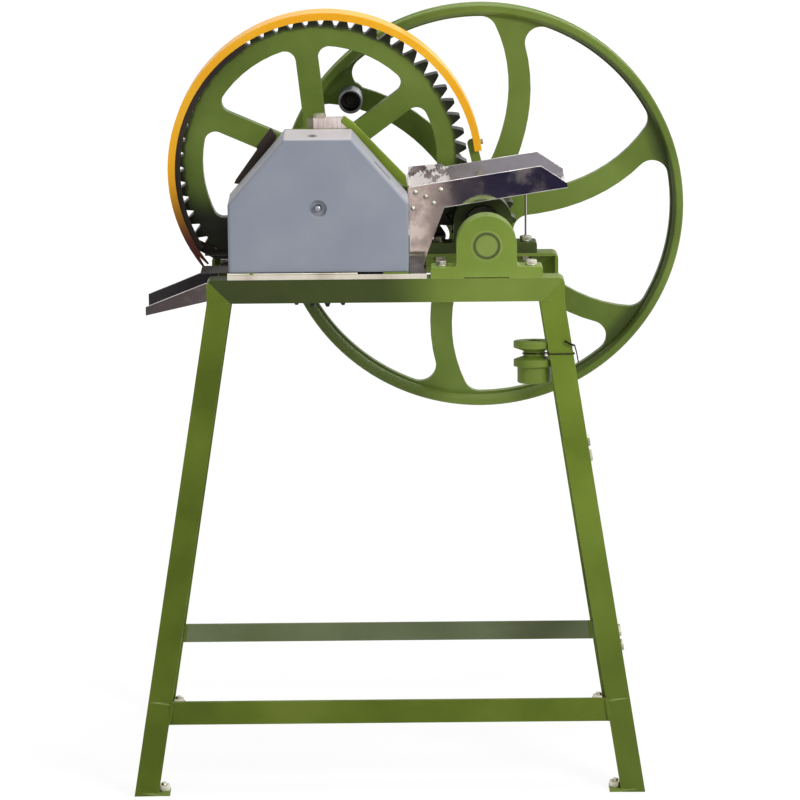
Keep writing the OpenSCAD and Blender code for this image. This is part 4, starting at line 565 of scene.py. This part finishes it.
def joined(pieces, name):
    bpy.ops.object.select_all(action="DESELECT")
    for piece in pieces:
        piece.select_set(True)
    bpy.context.view_layer.objects.active = pieces[0]
    if len(pieces) > 1:
        bpy.ops.object.join()
    pieces[0].name = pieces[0].data.name = name
    return pieces[0]


def dress(piece, finish, body, replaced=(), smoothAngle=32):
    # finish, shading, and the body that the piece moves with
    alone(piece)
    bpy.ops.object.transform_apply(location=True, rotation=True, scale=True)
    bpy.ops.object.shade_smooth_by_angle(angle=math.radians(smoothAngle))
    piece.data.materials.clear()
    piece.data.materials.append(finish)
    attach(piece, body)
    if replaced:
        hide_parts(*replaced)


# hexagon bolts with turned corners, washers and cut threads
hexBolt = {"shank": 10.0, "acrossFlats": 17.0, "head": 6.4, "nut": 8.0, "washer": 19.0, "washerThick": 1.6,
           "washerEdge": 0.35, "pitch": 1.75, "pastNut": 2.4, "inNut": 0.5, "pointAllowance": 2.5,
           "crown": 0.475, "crownSlope": 0.577,  # half the crown's width to the flats; tangent of 30 degrees
           "grooved": 0.86, "point": 1.0, "pointed": 0.8}


def hexPrism(name, low, high, cornersOnTop):
    # a six-sided block whose corners are turned away by a cone
    tall = high - low
    middle = (0, 0, (high + low) / 2 * mm)
    block = startPiece(name, bpy.ops.mesh.primitive_cylinder_add, vertices=6, location=middle,
                       radius=hexBolt["acrossFlats"] / math.sqrt(3) * mm, depth=tall * mm)
    crown = hexBolt["crown"] * hexBolt["acrossFlats"]
    narrow, wide = crown * mm, (crown + tall / hexBolt["crownSlope"]) * mm
    cone = startPiece(name + "Cone", bpy.ops.mesh.primitive_cone_add, vertices=48, depth=tall * mm,
                      radius1=wide if cornersOnTop else narrow, radius2=narrow if cornersOnTop else wide,
                      location=middle)
    turned = block.modifiers.new("turnedCorners", "BOOLEAN")
    turned.operation = "INTERSECT"
    turned.object = cone
    bpy.context.view_layer.objects.active = block
    bpy.ops.object.modifier_apply(modifier=turned.name)
    bpy.data.objects.remove(cone)
    return block


def washerDisc(name, low):
    thick = hexBolt["washerThick"]
    disc = startPiece(name, bpy.ops.mesh.primitive_cylinder_add, vertices=36, depth=thick * mm,
                      radius=hexBolt["washer"] / 2 * mm, location=(0, 0, (low + thick / 2) * mm))
    bpy.ops.object.mode_set(mode="EDIT")
    selectFaces(lambda middle, normal: abs(normal.z) > 0.9)
    bpy.ops.mesh.bevel(offset=hexBolt["washerEdge"] * mm, segments=2)
    bpy.ops.object.mode_set(mode="OBJECT")
    return disc


def threadedEnd(name, start, length, side):
    # the shank's thread as stacked grooves, with a turned point; side is 1 upwards and -1 downwards
    rod = startPiece(name, bpy.ops.mesh.primitive_cylinder_add, vertices=24, depth=1.0 * mm,
                     radius=hexBolt["shank"] / 2 * mm, location=(0, 0, (start + side * 0.5) * mm))
    bpy.ops.object.mode_set(mode="EDIT")
    selectFaces(lambda middle, normal: normal.z * side > 0.9)
    for _ in range(max(1, round((length - 2) / hexBolt["pitch"]))):
        push(side * hexBolt["pitch"] / 2, hexBolt["grooved"])
        push(side * hexBolt["pitch"] / 2, 1 / hexBolt["grooved"])
    push(side * hexBolt["point"], hexBolt["pointed"])
    bpy.ops.object.mode_set(mode="OBJECT")
    return rod


def boltModel(name, stack):
    # seat at 0, head upwards, nut under the stack
    thick = hexBolt["washerThick"]
    under = -stack - thick - hexBolt["nut"]
    return joined([
        hexPrism(name, thick, thick + hexBolt["head"], True), washerDisc(name + "Washer", 0),
        hexPrism(name + "Nut", under, -stack - thick, False), washerDisc(name + "NutWasher", -stack - thick),
        threadedEnd(name + "Thread", under + hexBolt["inNut"],
                    hexBolt["pastNut"] + hexBolt["pointAllowance"], -1)], name)


def studModel(name, above):
    # a stud that stands in the floor, with its washer and nut on the tab
    thick = hexBolt["washerThick"]
    top = thick + hexBolt["nut"]
    return joined([
        washerDisc(name, 0), hexPrism(name + "Nut", thick, top, True),
        threadedEnd(name + "Thread", top - hexBolt["inNut"],
                    above - thick - hexBolt["nut"] + hexBolt["inNut"], 1)], name)


def scatter(model, name, places, seed):
    # copies of a model, each turned about its own axis as a spanner happened to leave it
    chance = random.Random(seed)
    pieces = []
    for i, place in enumerate(places):
        turn = Matrix.Rotation(chance.uniform(0, math.pi), 4, "Z")
        pieces.append(moved(another(model, name + str(i)), place @ turn))
    bpy.data.objects.remove(model)
    return joined(pieces, name)


pillowBolts = {"stack": 23.0, "aside": 71, "deep": (19, 235), "seat": 18, "seed": 4}
pillowPlaces = [Matrix.Translation(atStand(shaftX + side * pillowBolts["aside"], y, pillowBolts["seat"]))
                for side in (-1, 1) for y in pillowBolts["deep"]]
dress(scatter(boltModel("pillowBoltModel", pillowBolts["stack"]), "pillowBoltSet", pillowPlaces,
              pillowBolts["seed"]), zincPlate, "stand", ["pillow_bolts"])

# the model's own height isn't turned with it, so the rail bolts sit 4.7 mm too far in and 4 mm too high
railBolts = {"stack": 10.0, "drops": (279, 581), "inset": 22, "aside": 12.5, "seed": 7,
             "halfWidth": 285.0, "depth": 254.0, "angle": 38.0, "splay": 0.16}  # these four are the stand's
lean = math.atan(railBolts["splay"])
legFrame = Matrix.Translation(atStand(railBolts["halfWidth"], 0, -railBolts["angle"]))
legFrame = legFrame @ Matrix.Rotation(-lean, 4, "Y")
railPlaces = []
for drop in railBolts["drops"]:
    along = -(drop - railBolts["angle"]) / math.cos(lean)
    out = -along * railBolts["splay"] * math.cos(lean)
    for y in (railBolts["inset"] - out, railBolts["depth"] + out - railBolts["inset"]):
        for side in (-railBolts["aside"], railBolts["aside"]):
            railPlaces.append(legFrame @ Matrix.Translation(Vector((0, y, along + side)) * mm)
                              @ Matrix.Rotation(math.radians(90), 4, "Y"))
dress(scatter(boltModel("railBoltModel", railBolts["stack"]), "railBoltSet", railPlaces, railBolts["seed"]),
      zincPlate, "stand", ["motor_rail_bolts"])

footStuds = {"above": 13.0, "aside": 362.64, "deep": (-106.64, 360.64), "foot": -812, "seed": 9}
footPlaces = [Matrix.Translation(atStand(x, y, footStuds["foot"]))
              for x in (-footStuds["aside"], footStuds["aside"]) for y in footStuds["deep"]]
dress(scatter(studModel("footStudModel", footStuds["above"]), "footStudSet", footPlaces, footStuds["seed"]),
      zincPlate, "stand", ["foot_bolts"])
print("stage: bolts and studs made")


# weld beads where the stretchers meet the legs
bead = {"length": 38.0, "width": 6.5, "ripple": 2.6, "grain": 0.8, "flattened": (0.62, 1, 0.5),
        "frontWeld": ((347.5, -101.5, -668), (353.5, -103.5, -704)),
        "rearWeld": ((347, 346.5, -668), (351, 346.5, -698)), "facing": (0, -1, 0)}


def beadModel():
    # a row of flattened ripples that melt into one another
    ripple = startPiece("weldBeadModel", bpy.ops.mesh.primitive_uv_sphere_add, segments=20, ring_count=12,
                        radius=bead["width"] / 2 * mm)
    editAll()
    bpy.ops.transform.resize(value=bead["flattened"])
    bpy.ops.object.mode_set(mode="OBJECT")
    row = ripple.modifiers.new("row", "ARRAY")
    row.use_relative_offset = False
    row.use_constant_offset = True
    row.constant_offset_displace = (bead["ripple"] * mm, 0, 0)
    row.count = round(bead["length"] / bead["ripple"])
    bpy.ops.object.modifier_apply(modifier=row.name)
    melted = ripple.modifiers.new("melted", "REMESH")
    melted.mode = "VOXEL"
    melted.voxel_size = bead["grain"] * mm
    bpy.ops.object.modifier_apply(modifier=melted.name)
    return ripple


def beadFrom(model, name, start, end, facing):
    # lays a bead along a line, its back on the steel
    run = end - start
    along = run.normalized()
    side = Vector(facing).cross(along).normalized()
    up = along.cross(side)
    turn = Matrix((along, side, up)).transposed().to_4x4()
    stretch = Matrix.Scale(run.length / (bead["length"] * mm), 4, (1, 0, 0))
    return moved(another(model, name), Matrix.Translation(start) @ turn @ stretch)


weldModel = beadModel()
welds = []
for side in (-1, 1):
    for seam in ("frontWeld", "rearWeld"):
        start, end = [atStand(side * x, y, h) for x, y, h in bead[seam]]
        welds.append(beadFrom(weldModel, seam + str(side), start, end, bead["facing"]))
dress(joined(welds, "stretcherWelds"), shadedLegEnamel, "stand")
bpy.data.objects.remove(weldModel)
print("stage: welds made")


# bright hems on the stainless sheets; along trough and chute they go by x and height above the floor
troughHem = {"radius": 0.6, "start": 96, "height": 97.03, "rise": 0.156,  # the floor's line
             "nearTop": ((39.6, 42), (251, 42), (293.6, 7)), "nearTopY": 100.6, "nearY": 100.4,
             "nearLow": ((96, 0.4), (293.6, 0.4)), "throatX": 39.8, "throatLow": 6, "wall": 42,
             "farTop": ((94.5, 42), (251, 42), (293.6, 7)), "farY": 249.4,
             "mouthX": 293.4, "mouthLift": 0.6, "mouthY": (101, 249)}
chuteHem = {"radius": 0.6, "start": -390, "height": -81, "rise": 0.225,
            "near": ((-389.4, 14), (-293, 30), (-240, 28.4)), "nearY": 125.7,
            "far": ((-389.4, 19), (-293, 36), (-240, 33)), "farY": 211.3,
            "mouthX": -389.3, "mouthLift": 0.6, "mouthY": (126, 211)}
trayHem = {"radius": 1.2, "y": 1.6, "h": 9.4, "trayLongHem": (-251, -216), "trayMidHem": (-210, -44)}


def hemAlong(name, points, radius):
    # a folded edge: a round bead that follows the sheet's edge
    path = bpy.data.curves.new(name, "CURVE")
    path.dimensions = "3D"
    line = path.splines.new("POLY")
    line.points.add(len(points) - 1)
    for point, place in zip(line.points, points):
        point.co = (*place, 1)
    path.bevel_depth = radius * mm
    path.bevel_resolution = 3
    path.use_fill_caps = True
    hem = bpy.data.objects.new(name, path)
    bpy.context.collection.objects.link(hem)
    alone(hem)
    bpy.ops.object.convert(target="MESH")
    return bpy.context.active_object


def floorOf(hem, x):
    return hem["height"] + hem["rise"] * (x - hem["start"])


def edgeOf(hem, y, steps):
    return [atStand(x, y, floorOf(hem, x) + up) for x, up in steps]


def mouthOf(hem):
    return [atStand(hem["mouthX"], y, floorOf(hem, hem["mouthX"]) + hem["mouthLift"]) for y in hem["mouthY"]]


throatTop = floorOf(troughHem, troughHem["throatX"]) + troughHem["wall"]
troughRuns = {
    "nearTopHem": edgeOf(troughHem, troughHem["nearTopY"], troughHem["nearTop"]),
    "nearLowHem": edgeOf(troughHem, troughHem["nearY"], troughHem["nearLow"]),
    "nearEndHem": [atStand(troughHem["throatX"], troughHem["nearY"], h)
                   for h in (troughHem["throatLow"], throatTop)],
    "farTopHem": edgeOf(troughHem, troughHem["farY"], troughHem["farTop"]),
    "mouthHem": mouthOf(troughHem),
}
chuteRuns = {
    "chuteNearHem": edgeOf(chuteHem, chuteHem["nearY"], chuteHem["near"]),
    "chuteFarHem": edgeOf(chuteHem, chuteHem["farY"], chuteHem["far"]),
    "chuteMouthHem": mouthOf(chuteHem),
}
trayRuns = {name: [atStand(x, trayHem["y"], trayHem["h"]) for x in trayHem[name]]
            for name in ("trayLongHem", "trayMidHem")}
for name, runs, hem, finish in (("troughHems", troughRuns, troughHem, hemSteel),
                                ("chuteHems", chuteRuns, chuteHem, hemSteel),
                                ("trayHems", trayRuns, trayHem, trayStainless)):
    beads = [hemAlong(run, points, hem["radius"]) for run, points in runs.items()]
    dress(joined(beads, name), finish, "stand")
print("stage: hems made")


# cover screw in its dished seat
coverSeat = {"h": 113.0, "face": 5.0, "rim": 13.4, "wall": 0.6, "dishOut": 0.7,
             "steps": ((0.93, 1.0), (0.86, 1.6), (0.6, 1.2), (0.5, 0.4)),  # each narrower, and deeper by mm
             "dome": 5.6, "domeFlattened": 0.62, "domeOut": 4.6, "domeAside": -0.6}


def coverDish():
    # a pressed cup: a circle drawn inwards in steps, each a little deeper
    cup = startPiece("coverDish", bpy.ops.mesh.primitive_circle_add, vertices=48,
                     radius=coverSeat["rim"] * mm)
    editAll()
    for size, deeper in coverSeat["steps"]:
        push(-deeper, size)
    bpy.ops.mesh.edge_face_add()
    bpy.ops.mesh.select_all(action="SELECT")
    bpy.ops.mesh.normals_make_consistent(inside=False)
    bpy.ops.object.mode_set(mode="OBJECT")
    if sum(face.normal.z * face.area for face in cup.data.polygons) < 0:
        cup.data.flip_normals()
    wall = cup.modifiers.new("wall", "SOLIDIFY")
    wall.thickness = coverSeat["wall"] * mm
    wall.offset = -1
    bpy.context.view_layer.objects.active = cup
    bpy.ops.object.modifier_apply(modifier=wall.name)
    return cup


def coverDome():
    # a polished button head: the upper half of a ball, flattened
    dome = startPiece("coverDome", bpy.ops.mesh.primitive_uv_sphere_add, segments=32, ring_count=16,
                      radius=coverSeat["dome"] * mm)
    editAll()
    bpy.ops.mesh.bisect(plane_co=(0, 0, 0), plane_no=(0, 0, 1), clear_inner=True, use_fill=True)
    bpy.ops.mesh.select_all(action="SELECT")
    bpy.ops.transform.resize(value=(1, 1, coverSeat["domeFlattened"]))
    bpy.ops.object.mode_set(mode="OBJECT")
    return dome


def onCover(x, out):
    # stands a model on the cover's face, so that its Z looks out of the front
    place = atStand(x, coverSeat["face"] + out, coverSeat["h"])
    return Matrix.Translation(place) @ Matrix.Rotation(math.radians(90), 4, "X")


dress(moved(coverDish(), onCover(millX, coverSeat["dishOut"])),
      greyEnamel, "stand", smoothAngle=50)
dress(moved(coverDome(), onCover(millX + coverSeat["domeAside"], coverSeat["domeOut"])),
      turnedSteel, "stand", ["cover_bolt"], smoothAngle=60)


# flanges of the hoods that stand out behind the cover, as corners across from the mill's middle and up
hoodFlange = {
    "right": [(41.5, 246.0), (56.5, 235.5), (141.0, 147.0), (143.0, 128.0), (112.0, 150.0), (52.0, 220.0),
              (37.0, 236.0)],
    "left": [(-136.0, 137.5), (-133.5, 143.0), (-98.5, 192.0), (-99.0, 197.5), (-76.0, 227.0), (-66.0, 214.0),
             (-76.0, 190.0), (-120.0, 136.0)],
    "nearY": 109.0, "rightThick": 8.0, "leftThick": 10.0, "edge": 0.8}


def plateOf(name, corners, thick):
    # a plate seen from the front, thickened towards the back, with rounded edges
    plate = startPiece(name, bpy.ops.mesh.primitive_circle_add, vertices=len(corners), radius=1,
                       fill_type="NGON")
    for point, (x, h) in zip(plate.data.vertices, corners):
        point.co = atStand(millX + x, hoodFlange["nearY"], h)
    editAll()
    bpy.ops.mesh.extrude_region_move(TRANSFORM_OT_translate={"value": (0, thick * mm, 0)})
    bpy.ops.mesh.select_all(action="SELECT")
    bpy.ops.mesh.normals_make_consistent(inside=False)
    bpy.ops.mesh.bevel(offset=hoodFlange["edge"] * mm, segments=2)
    bpy.ops.object.mode_set(mode="OBJECT")
    return plate


# painted light and shade: the right flange's pale edge is its highlight, and the left flange is finished near
# black as its shade
dress(plateOf("rightHoodFlange", hoodFlange["right"], hoodFlange["rightThick"]),
      litFlangeGreen, "stand")
dress(plateOf("leftHoodFlange", hoodFlange["left"], hoodFlange["leftThick"]),
      blackTarAndShade, "stand")
print("stage: cover screw and flanges made")


# a black strip behind the guard's lip, which paints the shade that the lip casts over the teeth
shadeStrip = {"inner": 238.2, "outer": 250.0, "nearY": 238.4, "thick": 2.0, "from": 122.0, "to": 212.0,
             "aside": 9.0, "down": 9.0, "steps": 140}


def ringStrip():
    # the strip's section, spun about the guard's middle
    band = startPiece("guardShadeStrip", bpy.ops.mesh.primitive_plane_add, size=1)
    middle = Vector((millX + shadeStrip["aside"], 0, gearH - shadeStrip["down"]))
    low, high = math.radians(shadeStrip["from"]), math.radians(shadeStrip["to"])
    for point in band.data.vertices:
        radius = shadeStrip["outer"] if point.co.x > 0 else shadeStrip["inner"]
        y = shadeStrip["nearY"] + (shadeStrip["thick"] if point.co.y > 0 else 0)
        point.co = atStand(middle.x + radius * math.cos(low), y, middle.z + radius * math.sin(low))
    editAll()
    bpy.ops.mesh.spin(steps=shadeStrip["steps"], angle=high - low, center=atStand(middle.x, 0, middle.z),
                      axis=(0, 1, 0), dupli=False)
    bpy.ops.mesh.select_all(action="SELECT")
    bpy.ops.mesh.remove_doubles(threshold=1e-6)
    bpy.ops.mesh.normals_make_consistent(inside=False)
    bpy.ops.object.mode_set(mode="OBJECT")
    return band


dress(ringStrip(), blackTarAndShade, "stand")


# loose tail of the pulley's tie wire, its two strands twisted together and bent down
wireTail = {"radius": 0.9, "twist": 2.4, "turns": 5, "steps": 40,
            "way": ((284, -14, -100), (292, -17, -104), (300, -17, -107), (303, -16, -118), (306, -15, -134))}


def makeWireTail():
    strands = []
    way = [Vector(place) for place in wireTail["way"]]
    for strand in (0, 1):
        points = []
        for i in range(wireTail["steps"] + 1):
            share = i / wireTail["steps"] * (len(way) - 1)
            leg = min(int(share), len(way) - 2)
            middle = way[leg].lerp(way[leg + 1], share - leg)
            turn = math.tau * wireTail["turns"] * i / wireTail["steps"] + math.pi * strand
            points.append(atStand(middle.x, middle.y + wireTail["twist"] / 2 * math.sin(turn),
                                  middle.z + wireTail["twist"] / 2 * math.cos(turn)))
        strands.append(hemAlong("wireStrand" + str(strand), points, wireTail["radius"]))
    return joined(strands, "tieWireTail")


dress(makeWireTail(), blackWire, "stand", smoothAngle=60)
# the dust strip that this line names is the strip of painted shade behind the guard's lip
print("stage: dust strip and wire tail made")


# floor, world, cards and lamps
studio = {"floor": 60, "below": 0.0005, "paper": "#f6f6f6", "dull": 0.9, "glow": 1.06,
          "perMetre": 0.2, "nearAndFar": [(0.22, 0.84), (0.7, 1)],  # 1.1 m and 3.5 m from the middle
          "fill": 0.36, "backdrop": 1.0}


def seenBehind(tree):
    # true for rays that look at the backdrop, straight or in metal and glass
    ray = add(tree, "LightPath").node.outputs
    first = add(tree, "Math", {0: ray["Is Camera Ray"], 1: ray["Is Glossy Ray"]}, operation="MAXIMUM")
    return add(tree, "Math", {0: first, 1: ray["Is Transmission Ray"]}, operation="MAXIMUM")


def makeFloor():
    # matt paper that is lit plainly, and seen a little brighter the further it is from the mill
    bpy.ops.object.select_all(action="DESELECT")
    bpy.ops.mesh.primitive_plane_add(size=studio["floor"], location=(0, 0, -studio["below"]))
    floor = bpy.context.active_object
    floor.name = "studioFloor"
    material, tree, where = newMaterial("paleStudioFloor")
    paper = add(tree, "BsdfPrincipled", {"Base Color": linear(studio["paper"]), "Roughness": studio["dull"]})
    away = add(tree, "VectorMath", {0: where}, output="Value", operation="LENGTH")
    share = add(tree, "Math", {0: away, 1: studio["perMetre"]}, operation="MULTIPLY")
    bright = add(tree, "ValToRGB", {"Fac": share}, stops=studio["nearAndFar"])
    shown = add(tree, "Math", {0: seenBehind(tree), 1: bright}, operation="MULTIPLY")
    glow = add(tree, "Emission", {"Color": grey(1), "Strength": studio["glow"]})
    add(tree, "OutputMaterial", {"Surface": add(tree, "MixShader", {0: shown, 1: paper, 2: glow})})
    floor.data.materials.append(material)


def makeWorld():
    world = bpy.data.worlds.new("studioWorld")
    bpy.context.scene.world = world
    world.use_nodes = True
    tree = world.node_tree
    tree.nodes.clear()
    fill = add(tree, "Background", {"Color": grey(1), "Strength": studio["fill"]})
    white = add(tree, "Background", {"Color": grey(1), "Strength": studio["backdrop"]})
    add(tree, "OutputWorld", {"Surface": add(tree, "MixShader", {0: seenBehind(tree), 1: fill, 2: white})})


cards = {  # dark cards that only gloss sees, as the dark room in front of the paper sweep
    "roomFloorCard": {
        "middle": (0.0, -5.6, 0.002), "size": (9.0, 5.4), "turn": (0, 0, 0), "perMetre": 0.2,
        "bands": ((-0.9, "#57504f"), (-0.40, "#6f6462"), (-0.24, "#e9dfdd"), (0.02, "#f2e6dd"),
                  (0.13, "#efddd0"), (0.165, "#a39189"), (0.20, "#655b5b"), (0.25, "#454049"),
                  (0.34, "#2c2940"))},
    "leftCard": {"middle": (-4.2, -1.6, 1.6), "size": (3.4, 4.4), "turn": (0, 90, 12), "tone": 0.03},
}


def cardTone(tree, where, card):
    # one grey, or bands across in metres: dull mauve, a pale middle and the dark of the room
    if "tone" in card:
        return grey(card["tone"])
    sideways = add(tree, "SeparateXYZ", {0: where}, output="X")
    across = add(tree, "Math", {0: sideways, 1: card["perMetre"]}, operation="MULTIPLY")
    share = add(tree, "Math", {0: across, 1: 0.5}, operation="ADD")
    return add(tree, "ValToRGB", {"Fac": share}, stops=[
        (0.5 + card["perMetre"] * (standMidX + x), linear(colour)) for x, colour in card["bands"]])


def makeCards():
    for name, card in cards.items():
        bpy.ops.object.select_all(action="DESELECT")
        bpy.ops.mesh.primitive_plane_add(size=1, location=card["middle"],
                                         rotation=[math.radians(angle) for angle in card["turn"]])
        sheet = bpy.context.active_object
        sheet.name = name
        sheet.scale = (*card["size"], 1)
        bpy.ops.object.transform_apply(location=True, rotation=True, scale=True)
        material, tree, where = newMaterial(name + "Paper")
        glow = add(tree, "Emission", {"Color": cardTone(tree, where, card), "Strength": 1.0})
        add(tree, "OutputMaterial", {"Surface": glow})
        sheet.data.materials.append(material)
        sheet.visible_camera = sheet.visible_diffuse = sheet.visible_shadow = False
        sheet.visible_transmission = sheet.visible_volume_scatter = False


lamps = {  # place, aim, size in metres, watts
    "keySoftbox": ((2.3, -2.7, 2.5), (0, 0, 0.7), 1.3, 72.0),
    "fillSoftbox": ((-2.6, -2.6, 1.4), (0, 0, 0.6), 2.2, 14.0),
    "topSoftbox": ((0.4, 0.2, 3.2), (0, 0, 0.8), 1.6, 34.0),
    "rimSoftbox": ((1.6, 2.6, 2.2), (0, 0, 0.9), 1.2, 18.0),
}


def makeLamps():
    for name, (place, aim, size, watts) in lamps.items():
        lamp = bpy.data.objects.new(name, bpy.data.lights.new(name, "AREA"))
        bpy.context.collection.objects.link(lamp)
        lamp.data.size = size
        lamp.data.energy = watts
        lamp.location = place
        lamp.rotation_mode = "QUATERNION"
        lamp.rotation_quaternion = (Vector(aim) - Vector(place)).to_track_quat("-Z", "Y")


makeFloor()
makeWorld()
makeCards()
makeLamps()
bpy.context.scene.view_settings.view_transform = "Standard"
print("stage: floor, world and lamps made")
